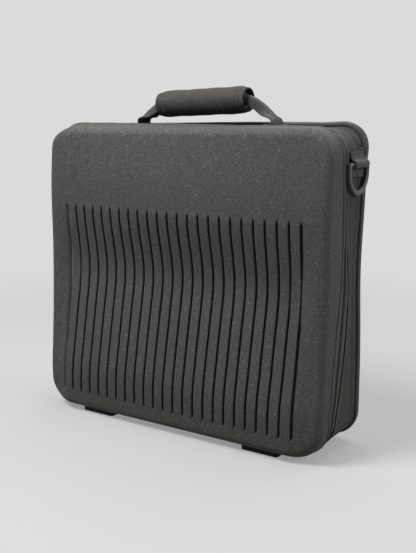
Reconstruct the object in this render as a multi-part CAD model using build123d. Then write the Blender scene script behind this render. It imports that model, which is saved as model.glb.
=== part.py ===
from build123d import *
import math
import os

# A zipped carrying case for a luggable computer, standing on its feet.
# Millimetres. X runs across the front, -Y is the ribbed front, +Z is up.
# The origin is on the floor, midway across the width and the depth.

# ---------------------------------------------------------------- overall
CASE_WIDTH = 426.0
CASE_DEPTH = 120.0
COVER_HEIGHT = 387.0
CORNER_RADIUS = 34.0

# ---------------------------------------------------------------- front cover
FRONT_FOOT_HEIGHT = 7.0
SHELL_WALL = 4.8
RIM_RADIUS = 13.0
BULGE_FORWARD = 13.0        # how far the face bulges ahead of its line at the groove tops
BULGE_HEIGHT = 56.0
RIM_SET_BACK = 12.0         # how far the face leans back at the top rim
GROOVE_TOP_HEIGHT = 286.0
DISH_DEPTH = 12.5           # how far the face is dished in below the groove tops
DISH_HEIGHT = 205.0
HEM_SET_BACK = 1.5          # how far the face turns back again at the bottom rim

GROOVE_COUNT = 24
GROOVE_PITCH = 15.5
GROOVE_WIDTH = 4.2
GROOVE_DEPTH = 3.0
GROOVE_LENGTH = 257.0

WELT_WIDTH = 4.0
WELT_PROUD = 1.0
WELT_REACH_IN = 4.0

# ---------------------------------------------------------------- seams, as depth at a height
# The cover ends at the cover seam, the nylon gusset starts at the gusset seam,
# and the zip lies midway between the two.
COVER_SEAM_TOP_Y = -10.0
COVER_SEAM_MIDDLE_Y = -4.0
COVER_SEAM_LOWER_Y = -22.0
COVER_SEAM_BOTTOM_Y = -31.0
GUSSET_SEAM_TOP_Y = 8.0
GUSSET_SEAM_MIDDLE_Y = 16.5
GUSSET_SEAM_LOWER_Y = 3.0
GUSSET_SEAM_BOTTOM_Y = -9.0
SEAM_MIDDLE_HEIGHT = 215.0
SEAM_LOWER_HEIGHT = 82.0

# ---------------------------------------------------------------- gusset and back
GUSSET_INSET = 2.5          # the gusset lies this far inside the outline of cover and back
GUSSET_WALL = 2.3
EDGE_TAPE_THICKNESS = 1.0
EDGE_TAPE_WIDTH = 4.5
BACK_PANEL_THICKNESS = 4.0
BACK_BINDING_DEPTH = 6.0
BACK_BINDING_THICKNESS = 5.0
BACK_EDGE_RADIUS = 2.5
DOCUMENT_POCKET_DEPTH = 4.5
DIVIDER_THICKNESS = 1.2
FLANGE_SEWN_WIDTH = 4.5
BOARD_THICKNESS = 2.0
BACK_PAD_THICKNESS = 5.4

# ---------------------------------------------------------------- linings
CAVITY_INSET = 17.0
FRONT_PAD_THICKNESS = 5.0
COVER_POCKET_WIDTH = 250.0
COVER_POCKET_HEIGHT = 170.0
COVER_POCKET_BOTTOM = 60.0
COVER_POCKET_CLOTH = 1.4
POCKET_BINDING_WIDTH = 16.0
POCKET_BINDING_THICKNESS = 1.2

# ---------------------------------------------------------------- zips
TAPE_THICKNESS = 1.2
TAPE_SEWN_WIDTH = 4.5
COIL_WIDTH = 1.75
COIL_THICKNESS = 1.2
COIL_GAP = 1.1
ZIP_END_FROM_SIDE = 37.0    # both zips end this far from the left side, before its corners
BACK_ZIP_INSET = 5.0
BACK_ZIP_WIDTH = 12.8
BACK_ZIP_DOWN_SIDE = 27.0   # how far below the top the back zip ends on the right side
HINGE_STRIP_THICKNESS = 2.0

SLIDER_LENGTH = 11.0
SLIDER_WIDTH = 8.2
SLIDER_PLATE = 1.2
SLIDER_WEB = 0.5
SLIDER_CHEEK = 0.9
PULL_PIN_RADIUS = 0.6
PULL_THICKNESS = 1.2
PULL_WIDTH = 4.6
PULL_LENGTH = 24.0
PULL_HOLE_RADIUS = 1.4
SLIDER_FROM_END = 10.0       # each closed zip's slider is parked this far from the zip's end

# ---------------------------------------------------------------- handle
HANDLE_BASE_X = 105.0
STRAP_WIDTH = 28.0
STRAP_THICKNESS = 3.2
GRIP_LENGTH = 132.0
GRIP_RADIUS = 17.3
GRIP_ABOVE_TOP = 29.5       # from the case's top to the middle of the grip
GRIP_COVER = 2.1
CORE_SET_BACK = 3.0         # the core ends this far inside each end of the cover
STRAP_SHOULDER_ABOVE_TOP = 13.0
STRAP_NECK_X = 74.0
STRAP_BEND_RADIUS = 14.0
ANCHOR_LENGTH = 44.0
ANCHOR_BEHIND_TAPE = 0.5    # from the gusset's edge tape to the anchors, which reach to the back zip
ANCHOR_CORNER_RADIUS = 4.0
ANCHOR_THICKNESS = 2.0
RIVET_RADIUS = 2.0
RIVET_HEAD_RADIUS = 4.2
RIVET_HEAD_HEIGHT = 1.2
ANCHOR_RIVET_SPACING = 24.0
BACKING_LENGTH = 300.0
BACKING_WIDTH = 14.0
BACKING_THICKNESS = 1.6

# ---------------------------------------------------------------- side rings
TAB_FROM_BACK = 31.0
TAB_WIDTH = 38.0
TAB_THICKNESS = 2.2
TAB_BELOW_TOP = 29.0
TAB_LENGTH = 30.0
RING_FROM_BACK = 33.0
RING_BAR_BELOW_TAB_TOP = 14.0
RING_BAR_PROUD = 3.0        # how far the bar's centre stands outside the case's outline
RING_STOCK_RADIUS = 2.5
RING_SPAN = 49.0
RING_DROP = 33.5            # from the bar's centre down to the bow's
RING_BOW_RADIUS = 20.0
RING_CORNER_RADIUS = 4.0

# ---------------------------------------------------------------- feet
FOOT_WIDTH = 52.0
FOOT_LENGTH = 15.0
FOOT_FROM_SIDE = 84.0
FRONT_FOOT_SET_BACK = 12.7  # from the foremost bulge to the front of the front feet
BACK_FOOT_SET_BACK = 12.0   # from the back face to the rear of the back feet
FOOT_CORNER_RADIUS = 4.0
FOOT_RIVET_SPACING = 30.0
FOOT_COUNTERBORE_DEPTH = 2.6

# ---------------------------------------------------------------- clearances
SEAT_GAP = 0.2              # between layers that are sewn or glued together
RUN_GAP = 0.3               # between pieces that move past each other
BORE_GAP = 0.1              # round a pin or rivet

# ---------------------------------------------------------------- derived places
COVER_BOTTOM = FRONT_FOOT_HEIGHT
COVER_TOP = COVER_BOTTOM + COVER_HEIGHT
MID_HEIGHT = (COVER_BOTTOM + COVER_TOP) / 2
HALF_WIDTH = CASE_WIDTH / 2
BACK_Y = CASE_DEPTH / 2
FACE_Y = -CASE_DEPTH / 2 + BULGE_FORWARD
REACH = CASE_DEPTH          # every cutting body reaches at least this far

ZIP_END_X = -HALF_WIDTH + ZIP_END_FROM_SIDE
FOOT_CENTRE_X = HALF_WIDTH - FOOT_FROM_SIDE
BACK_ZIP_END_HEIGHT = COVER_TOP - BACK_ZIP_DOWN_SIDE
GRIP_CENTRE_HEIGHT = COVER_TOP + GRIP_ABOVE_TOP
STRAP_SHOULDER_HEIGHT = COVER_TOP + STRAP_SHOULDER_ABOVE_TOP
TAB_CENTRE_Y = BACK_Y - TAB_FROM_BACK
TAB_TOP_HEIGHT = COVER_TOP - TAB_BELOW_TOP
TAB_BOTTOM_HEIGHT = TAB_TOP_HEIGHT - TAB_LENGTH
RING_CENTRE_Y = BACK_Y - RING_FROM_BACK
RING_BAR_HEIGHT = TAB_TOP_HEIGHT - RING_BAR_BELOW_TAB_TOP

TAPE_INSET = GUSSET_INSET + GUSSET_WALL + SEAT_GAP
LINER_INSET = TAPE_INSET + TAPE_THICKNESS + SEAT_GAP
COIL_INSET = TAPE_INSET - COIL_THICKNESS
FLANGE_INSET = BACK_ZIP_INSET + TAPE_THICKNESS + RUN_GAP + SLIDER_PLATE + RUN_GAP
BACK_STACK_INSET = FLANGE_INSET + DIVIDER_THICKNESS + SEAT_GAP
MAIN_SLIDER_X = ZIP_END_X + SLIDER_FROM_END
BACK_SLIDER_X = ZIP_END_X + SLIDER_FROM_END

PANEL_Y = BACK_Y - BACK_PANEL_THICKNESS
BINDING_Y = PANEL_Y - BACK_BINDING_DEPTH
DIVIDER_BACK_Y = PANEL_Y - DOCUMENT_POCKET_DEPTH
DIVIDER_FRONT_Y = DIVIDER_BACK_Y - DIVIDER_THICKNESS
BOARD_BACK_Y = DIVIDER_FRONT_Y - SEAT_GAP
BOARD_FRONT_Y = BOARD_BACK_Y - BOARD_THICKNESS
PAD_BACK_Y = BOARD_FRONT_Y - SEAT_GAP
PAD_FRONT_Y = PAD_BACK_Y - BACK_PAD_THICKNESS
GUSSET_BACK_Y = BINDING_Y - SEAT_GAP
BACK_ZIP_FRONT_Y = GUSSET_BACK_Y - BACK_ZIP_WIDTH
BACK_ZIP_Y = (BACK_ZIP_FRONT_Y + GUSSET_BACK_Y) / 2
GUSSET_TOP = COVER_TOP - GUSSET_INSET
ANCHOR_FRONT_Y = GUSSET_SEAM_TOP_Y + EDGE_TAPE_WIDTH + ANCHOR_BEHIND_TAPE
ANCHOR_WIDTH = BACK_ZIP_FRONT_Y - ANCHOR_FRONT_Y
HANDLE_Y = (ANCHOR_FRONT_Y + BACK_ZIP_FRONT_Y) / 2
CORE_RADIUS = GRIP_RADIUS - GRIP_COVER - SEAT_GAP


# ---------------------------------------------------------------- curves and bodies
def face_profile(shift=0.0):
    """Side view of the moulded face: leaning back, dished, then bulging forward."""
    return [
        (FACE_Y - BULGE_FORWARD + HEM_SET_BACK + shift, COVER_BOTTOM),
        (FACE_Y - BULGE_FORWARD + shift, BULGE_HEIGHT),
        (FACE_Y + DISH_DEPTH + shift, DISH_HEIGHT),
        (FACE_Y + shift, GROOVE_TOP_HEIGHT),
        (FACE_Y + RIM_SET_BACK + shift, COVER_TOP),
    ]


def cover_seam(shift=0.0):
    """Side view of the cover's rear edge."""
    return [
        (COVER_SEAM_BOTTOM_Y + shift, COVER_BOTTOM),
        (COVER_SEAM_LOWER_Y + shift, SEAM_LOWER_HEIGHT),
        (COVER_SEAM_MIDDLE_Y + shift, SEAM_MIDDLE_HEIGHT),
        (COVER_SEAM_TOP_Y + shift, COVER_TOP),
    ]


def gusset_seam(shift=0.0):
    """Side view of the nylon gusset's front edge."""
    return [
        (GUSSET_SEAM_BOTTOM_Y + shift, COVER_BOTTOM),
        (GUSSET_SEAM_LOWER_Y + shift, SEAM_LOWER_HEIGHT),
        (GUSSET_SEAM_MIDDLE_Y + shift, SEAM_MIDDLE_HEIGHT),
        (GUSSET_SEAM_TOP_Y + shift, COVER_TOP),
    ]


def zip_line(shift=0.0):
    """Side view of the zip, midway between the two seams."""
    pairs = zip(cover_seam(shift), gusset_seam(shift))
    return [((a[0] + b[0]) / 2, a[1]) for a, b in pairs]


def level(y):
    """A seam that is straight up and down at one depth."""
    return [(y, COVER_BOTTOM), (y, COVER_TOP)]


def run_on(points):
    """The same line of points, carried straight on past the case's top and bottom."""
    (low_y, low_z), (second_y, second_z) = points[:2]
    (fore_y, fore_z), (high_y, high_z) = points[-2:]
    low_slope = (second_y - low_y) / (second_z - low_z)
    high_slope = (high_y - fore_y) / (high_z - fore_z)
    return [
        (low_y - low_slope * CORNER_RADIUS, low_z - CORNER_RADIUS),
        *points,
        (high_y + high_slope * CORNER_RADIUS, high_z + CORNER_RADIUS),
    ]


def slopes(points):
    """Slope at each point: level at a turning point, otherwise the mean of both sides."""
    steps = [(b[0] - a[0]) / (b[1] - a[1]) for a, b in zip(points, points[1:])]
    inner = [0 if a * b <= 0 else (a + b) / 2 for a, b in zip(steps, steps[1:])]
    return [steps[0], *inner, steps[-1]]


def side_curve(points):
    """A smooth upright curve through the points that never swings beyond them."""
    line = run_on(points)
    places = [(0, y, z) for y, z in line]
    if len(points) == 2:
        return Line(places[0], places[-1])
    return Spline(*places, tangents=[(0, slope, 1) for slope in slopes(line)])


def slab(front, back, half_width=CASE_WIDTH):
    """The body between two side curves, right across the width."""
    front_edge = side_curve(front)
    back_edge = side_curve(back)
    floor = Line(front_edge @ 0, back_edge @ 0)
    roof = Line(front_edge @ 1, back_edge @ 1)
    outline = make_face(Curve() + [front_edge, back_edge, floor, roof])
    return extrude(Pos(-half_width, 0, 0) * outline, amount=2 * half_width, dir=(1, 0, 0))


def block(inset):
    """The rounded outline of the case, drawn in by inset, as a long bar along Y."""
    outline = RectangleRounded(
        CASE_WIDTH - 2 * inset, COVER_HEIGHT - 2 * inset, CORNER_RADIUS - inset
    )
    place = Plane(origin=(0, -REACH, MID_HEIGHT), x_dir=(1, 0, 0), z_dir=(0, 1, 0))
    return extrude(place * outline, amount=2 * REACH)


def band(outer_inset, inner_inset, front, back):
    """A belt round the case between two insets and two side curves."""
    return (block(outer_inset) - block(inner_inset)) & slab(front, back)


def plate(inset, front_y, back_y):
    """A flat panel with the case's outline."""
    return block(inset) & slab(level(front_y), level(back_y))


def box_between(low, high):
    """An axis-aligned box from its lowest to its highest corner."""
    size = [b - a for a, b in zip(low, high)]
    centre = [(a + b) / 2 for a, b in zip(low, high)]
    return Pos(*centre) * Box(*size)


def right_of(x):
    """Everything to the right of a plane."""
    return box_between((x, -REACH, -REACH), (CASE_WIDTH, REACH, COVER_TOP + REACH))


def left_of(x):
    """Everything to the left of a plane."""
    return box_between((-CASE_WIDTH, -REACH, -REACH), (x, REACH, COVER_TOP + REACH))


def rod(start, direction, radius, length):
    """A round bar from a point along a direction."""
    return extrude(Plane(origin=start, z_dir=direction) * Circle(radius), amount=length)


# ---------------------------------------------------------------- cover
def groove_heights():
    return GROOVE_TOP_HEIGHT - GROOVE_LENGTH, GROOVE_TOP_HEIGHT


def moulded_block(inset, face_shift, seam_shift, rim_radius):
    """The cover's block between its face and its seam, with the face's rim rounded."""
    body = block(inset) & slab(face_profile(face_shift), cover_seam(seam_shift))
    face = body.faces().sort_by(SortBy.AREA)[-2:].sort_by(Axis.Y)[0]
    return fillet(face.edges(), radius=rim_radius)


def front_shell():
    outer = moulded_block(0, 0, 0, RIM_RADIUS)
    inner = moulded_block(SHELL_WALL, SHELL_WALL, SHELL_WALL, RIM_RADIUS - SHELL_WALL)
    shell = outer - inner
    low, high = groove_heights()
    groove_body = slab(face_profile(-GROOVE_DEPTH), face_profile(GROOVE_DEPTH), GROOVE_WIDTH / 2)
    groove_body &= box_between(
        (-GROOVE_WIDTH, -REACH, low), (GROOVE_WIDTH, REACH, high)
    )
    first = -(GROOVE_COUNT - 1) / 2 * GROOVE_PITCH
    grooves = [
        Pos(first + number * GROOVE_PITCH, 0, 0) * groove_body
        for number in range(GROOVE_COUNT)
    ]
    shell = shell - grooves
    return shell - foot_rivet_holes(front_foot_places(), COVER_BOTTOM, SHELL_WALL)


def shell_welt():
    return band(-WELT_PROUD, WELT_REACH_IN, cover_seam(SEAT_GAP), cover_seam(WELT_WIDTH))


def cover_liner():
    """The foam tray inside the shell."""
    front = SHELL_WALL + SEAT_GAP
    outer = moulded_block(LINER_INSET, front, 0, RIM_RADIUS - SHELL_WALL)
    hollow = block(CAVITY_INSET) & slab(
        face_profile(front + FRONT_PAD_THICKNESS), cover_seam(SHELL_WALL)
    )
    return outer - hollow


def cover_zip_tape():
    tape = band(
        TAPE_INSET, TAPE_INSET + TAPE_THICKNESS,
        cover_seam(-TAPE_SEWN_WIDTH), zip_line(-COIL_GAP / 2),
    )
    return tape & right_of(ZIP_END_X)


def cover_zip_coil():
    coil = band(
        COIL_INSET, TAPE_INSET,
        zip_line(-COIL_GAP / 2 - COIL_WIDTH), zip_line(-COIL_GAP / 2),
    )
    return coil & right_of(ZIP_END_X)


def cover_pocket_layers(front_shift, thickness, low, high):
    """A flat layer of cloth that follows the padded inside of the cover."""
    start = SHELL_WALL + SEAT_GAP + FRONT_PAD_THICKNESS + front_shift
    layer = slab(face_profile(start), face_profile(start + thickness), COVER_POCKET_WIDTH / 2)
    return layer & box_between((-CASE_WIDTH, -REACH, low), (CASE_WIDTH, REACH, high))


def cover_pocket():
    return cover_pocket_layers(
        SEAT_GAP, COVER_POCKET_CLOTH,
        COVER_POCKET_BOTTOM, COVER_POCKET_BOTTOM + COVER_POCKET_HEIGHT,
    )


def cover_pocket_binding():
    top = COVER_POCKET_BOTTOM + COVER_POCKET_HEIGHT
    return cover_pocket_layers(
        2 * SEAT_GAP + COVER_POCKET_CLOTH, POCKET_BINDING_THICKNESS,
        top - POCKET_BINDING_WIDTH, top,
    )


# ---------------------------------------------------------------- gusset, back and linings
def back_zip_run(front_y, back_y):
    """Where the back zip lies: along the top, over the right corner and a little down."""
    return box_between(
        (ZIP_END_X, front_y, BACK_ZIP_END_HEIGHT), (CASE_WIDTH, back_y, COVER_TOP + REACH)
    )


def gusset():
    """The heavy woven nylon belt, with the back zip's opening cut out of its rear edge."""
    belt = band(
        GUSSET_INSET, GUSSET_INSET + GUSSET_WALL, gusset_seam(), level(GUSSET_BACK_Y)
    )
    belt -= back_zip_run(BACK_ZIP_FRONT_Y, BINDING_Y)
    for side in (-1, 1):
        for place in anchor_rivet_places(side):
            belt -= rod((*place, GUSSET_TOP - REACH / 2), (0, 0, 1), RIVET_RADIUS + BORE_GAP, REACH)
    return belt - foot_rivet_holes(back_foot_places(), COVER_BOTTOM, GUSSET_INSET + GUSSET_WALL)


def gusset_edge_tape():
    inset = GUSSET_INSET - EDGE_TAPE_THICKNESS
    return band(inset, GUSSET_INSET, gusset_seam(), gusset_seam(EDGE_TAPE_WIDTH))


def body_zip_tape():
    tape = band(
        TAPE_INSET, TAPE_INSET + TAPE_THICKNESS,
        zip_line(COIL_GAP / 2), gusset_seam(TAPE_SEWN_WIDTH),
    )
    return tape & right_of(ZIP_END_X)


def body_zip_coil():
    coil = band(
        COIL_INSET, TAPE_INSET,
        zip_line(COIL_GAP / 2), zip_line(COIL_GAP / 2 + COIL_WIDTH),
    )
    return coil & right_of(ZIP_END_X)


def slider_room():
    """How far the foam lip under the zip stands clear of the slider's lower plate."""
    return TAPE_INSET + TAPE_THICKNESS + RUN_GAP + SLIDER_PLATE + RUN_GAP


def body_liner():
    """The foam belt inside the gusset, with a thinner lip that reaches under the zip."""
    step = gusset_seam(TAPE_SEWN_WIDTH + SEAT_GAP)
    back = level(PAD_FRONT_Y - SEAT_GAP)
    main = band(LINER_INSET, CAVITY_INSET, step, back)
    lip = band(slider_room(), CAVITY_INSET, cover_seam(SEAT_GAP + RUN_GAP), step)
    liner = main + lip
    return liner - backing_room() - foot_rivet_room() - flange_room()


def hinge_strip():
    """The cloth strip down the left side, from the gusset to the cover's welt."""
    strip = band(
        GUSSET_INSET, GUSSET_INSET + HINGE_STRIP_THICKNESS,
        cover_seam(WELT_WIDTH + RUN_GAP), gusset_seam(-SEAT_GAP),
    )
    return strip & left_of(ZIP_END_X - RUN_GAP)


def back_panel():
    panel = plate(0, PANEL_Y, BACK_Y)
    rear = panel.faces().sort_by(Axis.Y)[-1]
    return fillet(rear.edges(), radius=BACK_EDGE_RADIUS)


def back_binding():
    return band(0, BACK_BINDING_THICKNESS, level(BINDING_Y), level(PANEL_Y))


def back_zip_tapes(front_y, back_y):
    tape = band(
        BACK_ZIP_INSET, BACK_ZIP_INSET + TAPE_THICKNESS, level(front_y), level(back_y)
    )
    return tape & back_zip_run(front_y, back_y)


def back_zip_tape_front():
    return back_zip_tapes(BACK_ZIP_FRONT_Y + SEAT_GAP, BACK_ZIP_Y - COIL_GAP / 2)


def back_zip_tape_rear():
    return back_zip_tapes(BACK_ZIP_Y + COIL_GAP / 2, GUSSET_BACK_Y)


def back_zip_coils():
    """Both coil halves of the closed back zip."""
    coils = []
    for low, high in (
        (BACK_ZIP_Y - COIL_GAP / 2 - COIL_WIDTH, BACK_ZIP_Y - COIL_GAP / 2),
        (BACK_ZIP_Y + COIL_GAP / 2, BACK_ZIP_Y + COIL_GAP / 2 + COIL_WIDTH),
    ):
        belt = band(BACK_ZIP_INSET - COIL_THICKNESS, BACK_ZIP_INSET, level(low), level(high))
        coils.append(belt & back_zip_run(low, high))
    return Compound(children=[solid for coil in coils for solid in coil.solids()])


def flange_front_y():
    return BACK_ZIP_FRONT_Y - FLANGE_SEWN_WIDTH


def pocket_divider():
    """The cloth wall in front of the document pocket, with a flange sewn under the back zip."""
    wall = plate(TAPE_INSET, DIVIDER_FRONT_Y, DIVIDER_BACK_Y)
    flange = band(
        FLANGE_INSET, FLANGE_INSET + DIVIDER_THICKNESS,
        level(flange_front_y()), level(DIVIDER_BACK_Y),
    )
    straight_top = box_between(
        (-HALF_WIDTH + CORNER_RADIUS, -REACH, MID_HEIGHT),
        (HALF_WIDTH - CORNER_RADIUS, REACH, COVER_TOP),
    )
    return wall + (flange & straight_top)


def flange_room():
    """The space under the back zip that the foam belt leaves free."""
    return band(
        0, FLANGE_INSET + DIVIDER_THICKNESS + SEAT_GAP,
        level(flange_front_y() - SEAT_GAP), level(BACK_Y),
    ) & box_between(
        (-HALF_WIDTH, -REACH, COVER_TOP - CORNER_RADIUS), (HALF_WIDTH, REACH, COVER_TOP)
    )


def back_board():
    return plate(BACK_STACK_INSET, BOARD_FRONT_Y, BOARD_BACK_Y)


def back_pad():
    return plate(BACK_STACK_INSET, PAD_FRONT_Y, PAD_BACK_Y)


# ---------------------------------------------------------------- feet
def front_foot_places():
    y = -CASE_DEPTH / 2 + FRONT_FOOT_SET_BACK + FOOT_LENGTH / 2
    return [(-FOOT_CENTRE_X, y), (FOOT_CENTRE_X, y)]


def back_foot_places():
    y = BACK_Y - BACK_FOOT_SET_BACK - FOOT_LENGTH / 2
    return [(-FOOT_CENTRE_X, y), (FOOT_CENTRE_X, y)]


def foot_rivet_centres(place):
    return [
        (place[0] + side * FOOT_RIVET_SPACING / 2, place[1]) for side in (-1, 1)
    ]


def foot_rivet_holes(places, low, height):
    """Clearance holes through a wall that carries feet."""
    holes = Part()
    for place in places:
        for x, y in foot_rivet_centres(place):
            holes += rod((x, y, low - 1), (0, 0, 1), RIVET_RADIUS + BORE_GAP, height + 2)
    return holes


def foot(place, height):
    """A rubber foot with two counterbored rivet holes."""
    x, y = place
    outline = Pos(x, y) * RectangleRounded(FOOT_WIDTH, FOOT_LENGTH, FOOT_CORNER_RADIUS)
    body = extrude(outline, amount=height)
    for cx, cy in foot_rivet_centres(place):
        body -= rod((cx, cy, 0), (0, 0, 1), RIVET_RADIUS + BORE_GAP, height)
        body -= rod((cx, cy, 0), (0, 0, 1), RIVET_HEAD_RADIUS + BORE_GAP, FOOT_COUNTERBORE_DEPTH)
    return body


def foot_rivets(places, top):
    """Rivets up through the feet and the wall, with their heads inside and out."""
    rivets = []
    for place in places:
        for x, y in foot_rivet_centres(place):
            low = FOOT_COUNTERBORE_DEPTH - RIVET_HEAD_HEIGHT
            rivet = rod((x, y, low), (0, 0, 1), RIVET_HEAD_RADIUS, RIVET_HEAD_HEIGHT)
            rivet += rod((x, y, low), (0, 0, 1), RIVET_RADIUS, top + RIVET_HEAD_HEIGHT - low)
            rivet += rod((x, y, top), (0, 0, 1), RIVET_HEAD_RADIUS, RIVET_HEAD_HEIGHT)
            rivets.append(rivet)
    return Compound(children=[solid for rivet in rivets for solid in rivet.solids()])


def front_wall_top():
    return COVER_BOTTOM + SHELL_WALL


def back_wall_top():
    return COVER_BOTTOM + GUSSET_INSET + GUSSET_WALL


def foot_rivet_room():
    """Pockets in the foam belt over the inner heads of the back feet's rivets."""
    room = Part()
    for place in back_foot_places():
        for x, y in foot_rivet_centres(place):
            room += rod(
                (x, y, back_wall_top()), (0, 0, 1),
                RIVET_HEAD_RADIUS + RUN_GAP, RIVET_HEAD_HEIGHT + RUN_GAP,
            )
    return room


def front_foot_rivet_room():
    """The same pockets in the cover's foam tray."""
    room = Part()
    for place in front_foot_places():
        for x, y in foot_rivet_centres(place):
            room += rod(
                (x, y, front_wall_top()), (0, 0, 1),
                RIVET_HEAD_RADIUS + RUN_GAP, RIVET_HEAD_HEIGHT + RUN_GAP,
            )
    return room


# ---------------------------------------------------------------- handle
def anchor_rivet_places(side):
    centre = side * HANDLE_BASE_X
    return [(centre + end * ANCHOR_RIVET_SPACING / 2, HANDLE_Y) for end in (-1, 1)]


def backing_top():
    return GUSSET_TOP - GUSSET_WALL - SEAT_GAP


def handle_backing():
    """A plastic strip under the top of the gusset that spreads the handle's load."""
    half = BACKING_WIDTH / 2
    low = (-BACKING_LENGTH / 2, HANDLE_Y - half, backing_top() - BACKING_THICKNESS)
    high = (BACKING_LENGTH / 2, HANDLE_Y + half, backing_top())
    strip = box_between(low, high)
    for side in (-1, 1):
        for x, y in anchor_rivet_places(side):
            strip -= rod((x, y, low[2] - 1), (0, 0, 1), RIVET_RADIUS + BORE_GAP, REACH)
    return strip


def backing_room():
    """The recess in the foam belt for the backing strip and its rivets."""
    depth = BACKING_THICKNESS + RIVET_HEAD_HEIGHT + RUN_GAP
    half = BACKING_WIDTH / 2 + RUN_GAP
    return box_between(
        (-BACKING_LENGTH / 2 - RUN_GAP, HANDLE_Y - half, backing_top() - depth),
        (BACKING_LENGTH / 2 + RUN_GAP, HANDLE_Y + half, COVER_TOP),
    )


def handle_anchor(side):
    """The sewn webbing patch that the strap's end is folded into."""
    centre = side * HANDLE_BASE_X
    patch = extrude(
        Pos(centre, HANDLE_Y, GUSSET_TOP)
        * RectangleRounded(ANCHOR_LENGTH, ANCHOR_WIDTH, ANCHOR_CORNER_RADIUS),
        amount=ANCHOR_THICKNESS,
    )
    for x, y in anchor_rivet_places(side):
        patch -= rod((x, y, GUSSET_TOP - 1), (0, 0, 1), RIVET_RADIUS + BORE_GAP, REACH)
    return patch


def handle_rivets():
    """Rivets through the anchors, the gusset and the backing strip."""
    rivets = []
    low = backing_top() - BACKING_THICKNESS
    high = GUSSET_TOP + ANCHOR_THICKNESS
    for side in (-1, 1):
        for x, y in anchor_rivet_places(side):
            rivet = rod((x, y, low - RIVET_HEAD_HEIGHT), (0, 0, 1), RIVET_HEAD_RADIUS,
                        RIVET_HEAD_HEIGHT)
            rivet += rod((x, y, low), (0, 0, 1), RIVET_RADIUS, high - low)
            rivet += rod((x, y, high), (0, 0, 1), RIVET_HEAD_RADIUS, RIVET_HEAD_HEIGHT)
            rivets.append(rivet)
    return Compound(children=[solid for rivet in rivets for solid in rivet.solids()])


def strap_foot_height():
    return GUSSET_TOP + ANCHOR_THICKNESS + RUN_GAP


def tilt_axis_height():
    """The strap's round lower ends turn about this height."""
    return strap_foot_height() + STRAP_WIDTH / 2


def handle_strap():
    """One webbing strap: up from the left anchor, through the grip and down to the right one."""
    foot_z = strap_foot_height()
    path = FilletPolyline(
        (-HANDLE_BASE_X, HANDLE_Y, foot_z),
        (-HANDLE_BASE_X, HANDLE_Y, STRAP_SHOULDER_HEIGHT),
        (-STRAP_NECK_X, HANDLE_Y, GRIP_CENTRE_HEIGHT),
        (STRAP_NECK_X, HANDLE_Y, GRIP_CENTRE_HEIGHT),
        (HANDLE_BASE_X, HANDLE_Y, STRAP_SHOULDER_HEIGHT),
        (HANDLE_BASE_X, HANDLE_Y, foot_z),
        radius=[STRAP_BEND_RADIUS, STRAP_BEND_RADIUS, STRAP_BEND_RADIUS, STRAP_BEND_RADIUS],
    )
    start = Plane(origin=path @ 0, x_dir=(0, 1, 0), z_dir=path % 0)
    strap = sweep(start * Rectangle(STRAP_WIDTH, STRAP_THICKNESS), path=path)
    keep = Part()
    for side in (-1, 1):
        keep += rod(
            (side * HANDLE_BASE_X - STRAP_WIDTH, HANDLE_Y, tilt_axis_height()),
            (1, 0, 0), STRAP_WIDTH / 2, 2 * STRAP_WIDTH,
        )
    above = box_between(
        (-CASE_WIDTH, -REACH, tilt_axis_height()), (CASE_WIDTH, REACH, COVER_TOP + REACH)
    )
    return strap & (keep + above)


def handle_grip():
    """The padded cloth sleeve round the strap."""
    start = (-GRIP_LENGTH / 2, HANDLE_Y, GRIP_CENTRE_HEIGHT)
    tube = rod(start, (1, 0, 0), GRIP_RADIUS, GRIP_LENGTH)
    tube = fillet(tube.edges().filter_by(GeomType.CIRCLE), radius=GRIP_COVER / 2)
    return tube - rod(start, (1, 0, 0), CORE_RADIUS + SEAT_GAP, GRIP_LENGTH)


def handle_core():
    """The foam core inside the sleeve, slit for the strap."""
    start = (-GRIP_LENGTH / 2 + CORE_SET_BACK, HANDLE_Y, GRIP_CENTRE_HEIGHT)
    core = rod(start, (1, 0, 0), CORE_RADIUS, GRIP_LENGTH - 2 * CORE_SET_BACK)
    half_width = STRAP_WIDTH / 2 + RUN_GAP
    half_height = STRAP_THICKNESS / 2 + RUN_GAP
    slit = box_between(
        (-GRIP_LENGTH, HANDLE_Y - half_width, GRIP_CENTRE_HEIGHT - half_height),
        (GRIP_LENGTH, HANDLE_Y + half_width, GRIP_CENTRE_HEIGHT + half_height),
    )
    return core - slit


# ---------------------------------------------------------------- side rings
def ring_axis_x():
    return HALF_WIDTH + RING_BAR_PROUD


def side_tab(side):
    """A webbing tab sewn to the gusset, folded over the ring's bar."""
    wall = HALF_WIDTH - GUSSET_INSET
    low_y = TAB_CENTRE_Y - TAB_WIDTH / 2
    high_y = TAB_CENTRE_Y + TAB_WIDTH / 2
    eye = RING_STOCK_RADIUS + RUN_GAP + TAB_THICKNESS
    tab = box_between(
        (wall, low_y, TAB_BOTTOM_HEIGHT), (wall + TAB_THICKNESS, high_y, TAB_TOP_HEIGHT)
    )
    tab += box_between(
        (wall, low_y, RING_BAR_HEIGHT - eye), (ring_axis_x(), high_y, RING_BAR_HEIGHT + eye)
    )
    tab += rod((ring_axis_x(), low_y, RING_BAR_HEIGHT), (0, 1, 0), eye, TAB_WIDTH)
    tab -= rod(
        (ring_axis_x(), low_y, RING_BAR_HEIGHT), (0, 1, 0),
        RING_STOCK_RADIUS + RUN_GAP, TAB_WIDTH,
    )
    tab -= band(
        GUSSET_INSET - EDGE_TAPE_THICKNESS - SEAT_GAP, GUSSET_INSET + GUSSET_WALL,
        gusset_seam(-TAB_WIDTH), gusset_seam(EDGE_TAPE_WIDTH + SEAT_GAP),
    )
    return tab if side > 0 else mirror(tab, about=Plane.YZ)


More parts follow.
